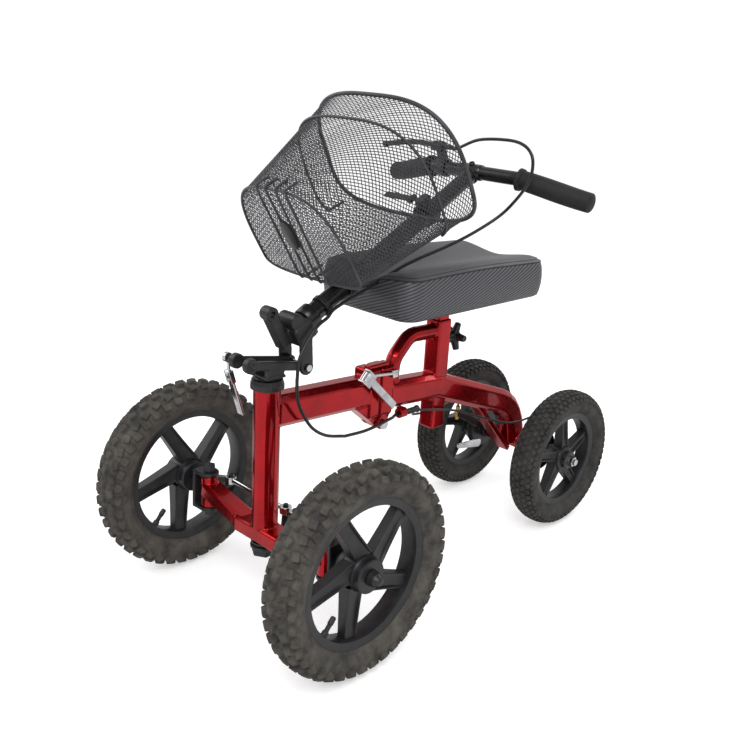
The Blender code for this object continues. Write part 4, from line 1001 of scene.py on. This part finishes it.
leadLeft = [at(0.0155, 0.296, 0.2604), at(0.0225, 0.340, 0.2530), at(0.0250, 0.400, 0.2380),
            at(0.0270, 0.480, 0.2060), at(0.0330, 0.560, 0.1800), at(0.0480, 0.640, 0.1900),
            at(0.0640, 0.6830, 0.2020), at(0.0665, 0.6905, 0.1925)]
leadRight = [at(0.0155, 0.296, 0.2604), at(-0.005, 0.322, 0.2420), at(-0.0220, 0.345, 0.2300),
             at(-0.0400, 0.420, 0.2150), at(-0.0600, 0.490, 0.2120), at(-0.0660, 0.5160, 0.2010),
             at(-0.0665, 0.5185, 0.1925)]


def brakeHousing():
    spans = (
        ("brake_housing_upper", toLower, "stem_upper", "stem_lower", at(0, 0.396, 0.605),
         at(0, 0.330, 0.548), ("brake_cable_upper",)),
        ("brake_housing_stem", toSteerer, "stem_lower", "steerer", at(0, 0.083, 0.4545),
         at(0, 0.0255, 0.3965), ("brake_cable_stem", "brake_cable_steerer")),
        ("brake_housing_head", toFront, "steerer", "front_frame", at(0, 0.0223, 0.3716),
         at(0, 0.045, 0.310), ("brake_cable_front",)),
        ("brake_housing_boom", toRear, "front_frame", "rear_frame", at(0, 0.190, 0.262),
         at(0, 0.245, 0.2635), ("brake_cable_rear",)))
    for name, points, first, second, start, end, stands in spans:
        piece = sweep(name, smoothPath(points, 8), housing["radius"], 14)
        paint(piece, "jacket")
        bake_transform(piece)
        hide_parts(*stands)
    leads = [sweep("lead", smoothPath(points, 8), housing["lead"], 12)
             for points in (leadLeft, leadRight)]
    leads.append(revolve("splitter", at(0.0158, 0.2955, 0.2605), (0, 1, 0), [
        (0.0, -0.0130), (0.0034, -0.0130), (0.0050, -0.0110), (0.0050, 0.0080), (0.0062, 0.0095),
        (0.0062, 0.0120), (0.0050, 0.0130), (0.0, 0.0130)], 24))
    place(joined("brake_housing_leads", leads), "rear_frame", "cable_jacket", look="jacket")


brakeHousing()
print("cable ready")


# Floor, light and camera

def stagePlane(name, look):
    shape = bmesh.new()
    reach = 9.0
    low = cadBounds[0][2]
    for corner in ((-reach, -reach), (reach, -reach), (reach, reach), (-reach, reach)):
        shape.verts.new((*corner, low))
    shape.faces.new(shape.verts)
    floor = fromBmesh(name, shape)
    floor.data.materials.append(look)


def studio():
    look, tree, shader, place = finishOf("pale_matt_floor", Roughness=0.9)
    grain = noiseAt(tree, place, 3.0)
    tree.links.new(ramp(tree, grain, [(0.3, "#F4F4F4"), (0.7, "#F8F8F8")]),
                   shader.inputs["Base Color"])
    rays = addNode(tree, "ShaderNodeLightPath")
    glow = addNode(tree, "ShaderNodeEmission", {"Color": (1, 1, 1, 1), "Strength": 0.46})
    both = addNode(tree, "ShaderNodeAddShader", {0: shader.outputs[0], 1: glow.outputs[0]})
    mixed = addNode(tree, "ShaderNodeMixShader", {
        0: rays.outputs["Is Camera Ray"], 1: shader.outputs[0], 2: both.outputs[0]})
    tree.links.new(mixed.outputs[0], tree.nodes["Material Output"].inputs["Surface"])
    stagePlane("floor", look)

    world = bpy.data.worlds.new("studio")
    bpy.context.scene.world = world
    world.use_nodes = True
    sky = world.node_tree
    sky.nodes.clear()
    rays = addNode(sky, "ShaderNodeLightPath")
    soft = addNode(sky, "ShaderNodeBackground", {"Color": (1, 1, 1, 1), "Strength": 0.62})
    white = addNode(sky, "ShaderNodeBackground", {"Color": (1, 1, 1, 1), "Strength": 1.0})
    seen = addNode(sky, "ShaderNodeMath", {0: rays.outputs["Is Camera Ray"],
                                           1: rays.outputs["Is Transmission Ray"]},
                   operation="MAXIMUM")
    mixed = addNode(sky, "ShaderNodeMixShader", {
        0: seen.outputs[0], 1: soft.outputs[0], 2: white.outputs[0]})
    addNode(sky, "ShaderNodeOutputWorld", {"Surface": mixed.outputs[0]})

    for name, spot, aim, size, power in (
            ("key", (1.4, -1.6, 2.4), (0, 0, 0.3), 1.4, 34),
            ("fill", (-2.2, -0.8, 1.6), (0, 0, 0.3), 1.8, 16),
            ("back", (0.2, 2.2, 2.0), (0, 0, 0.35), 1.4, 18)):
        lamp = bpy.data.lights.new(name, "AREA")
        lamp.size = size
        lamp.energy = power
        holder = bpy.data.objects.new(name, lamp)
        bpy.context.scene.collection.objects.link(holder)
        holder.location = spot
        holder.rotation_euler = (Vector(aim) - Vector(spot)).to_track_quat("-Z", "Y").to_euler()


def cameraAtSide():
    sizes = {"azimuth": 43.87, "elevation": 18.66, "roll": 3.318, "lens": 45.58,
             "place": (0.98556, -1.09518, 0.81299)}
    a, e, r = (radians(sizes[key]) for key in ("azimuth", "elevation", "roll"))
    back = Vector((sin(a) * cos(e), -cos(a) * cos(e), sin(e)))
    right = Vector((cos(a), sin(a), 0.0))
    up = back.cross(right)
    turnedRight = right * cos(r) + up * sin(r)
    turnedUp = up * cos(r) - right * sin(r)
    data = bpy.data.cameras.new("camera")
    data.lens = sizes["lens"]
    data.sensor_width = 36.0
    holder = bpy.data.objects.new("camera", data)
    bpy.context.scene.collection.objects.link(holder)
    turned = Matrix((turnedRight, turnedUp, back)).transposed().to_4x4()
    holder.matrix_world = Matrix.Translation(sizes["place"]) @ turned
    bpy.context.scene.camera = holder


studio()
cameraAtSide()
bpy.context.scene.view_settings.view_transform = "Standard"
print("studio ready")
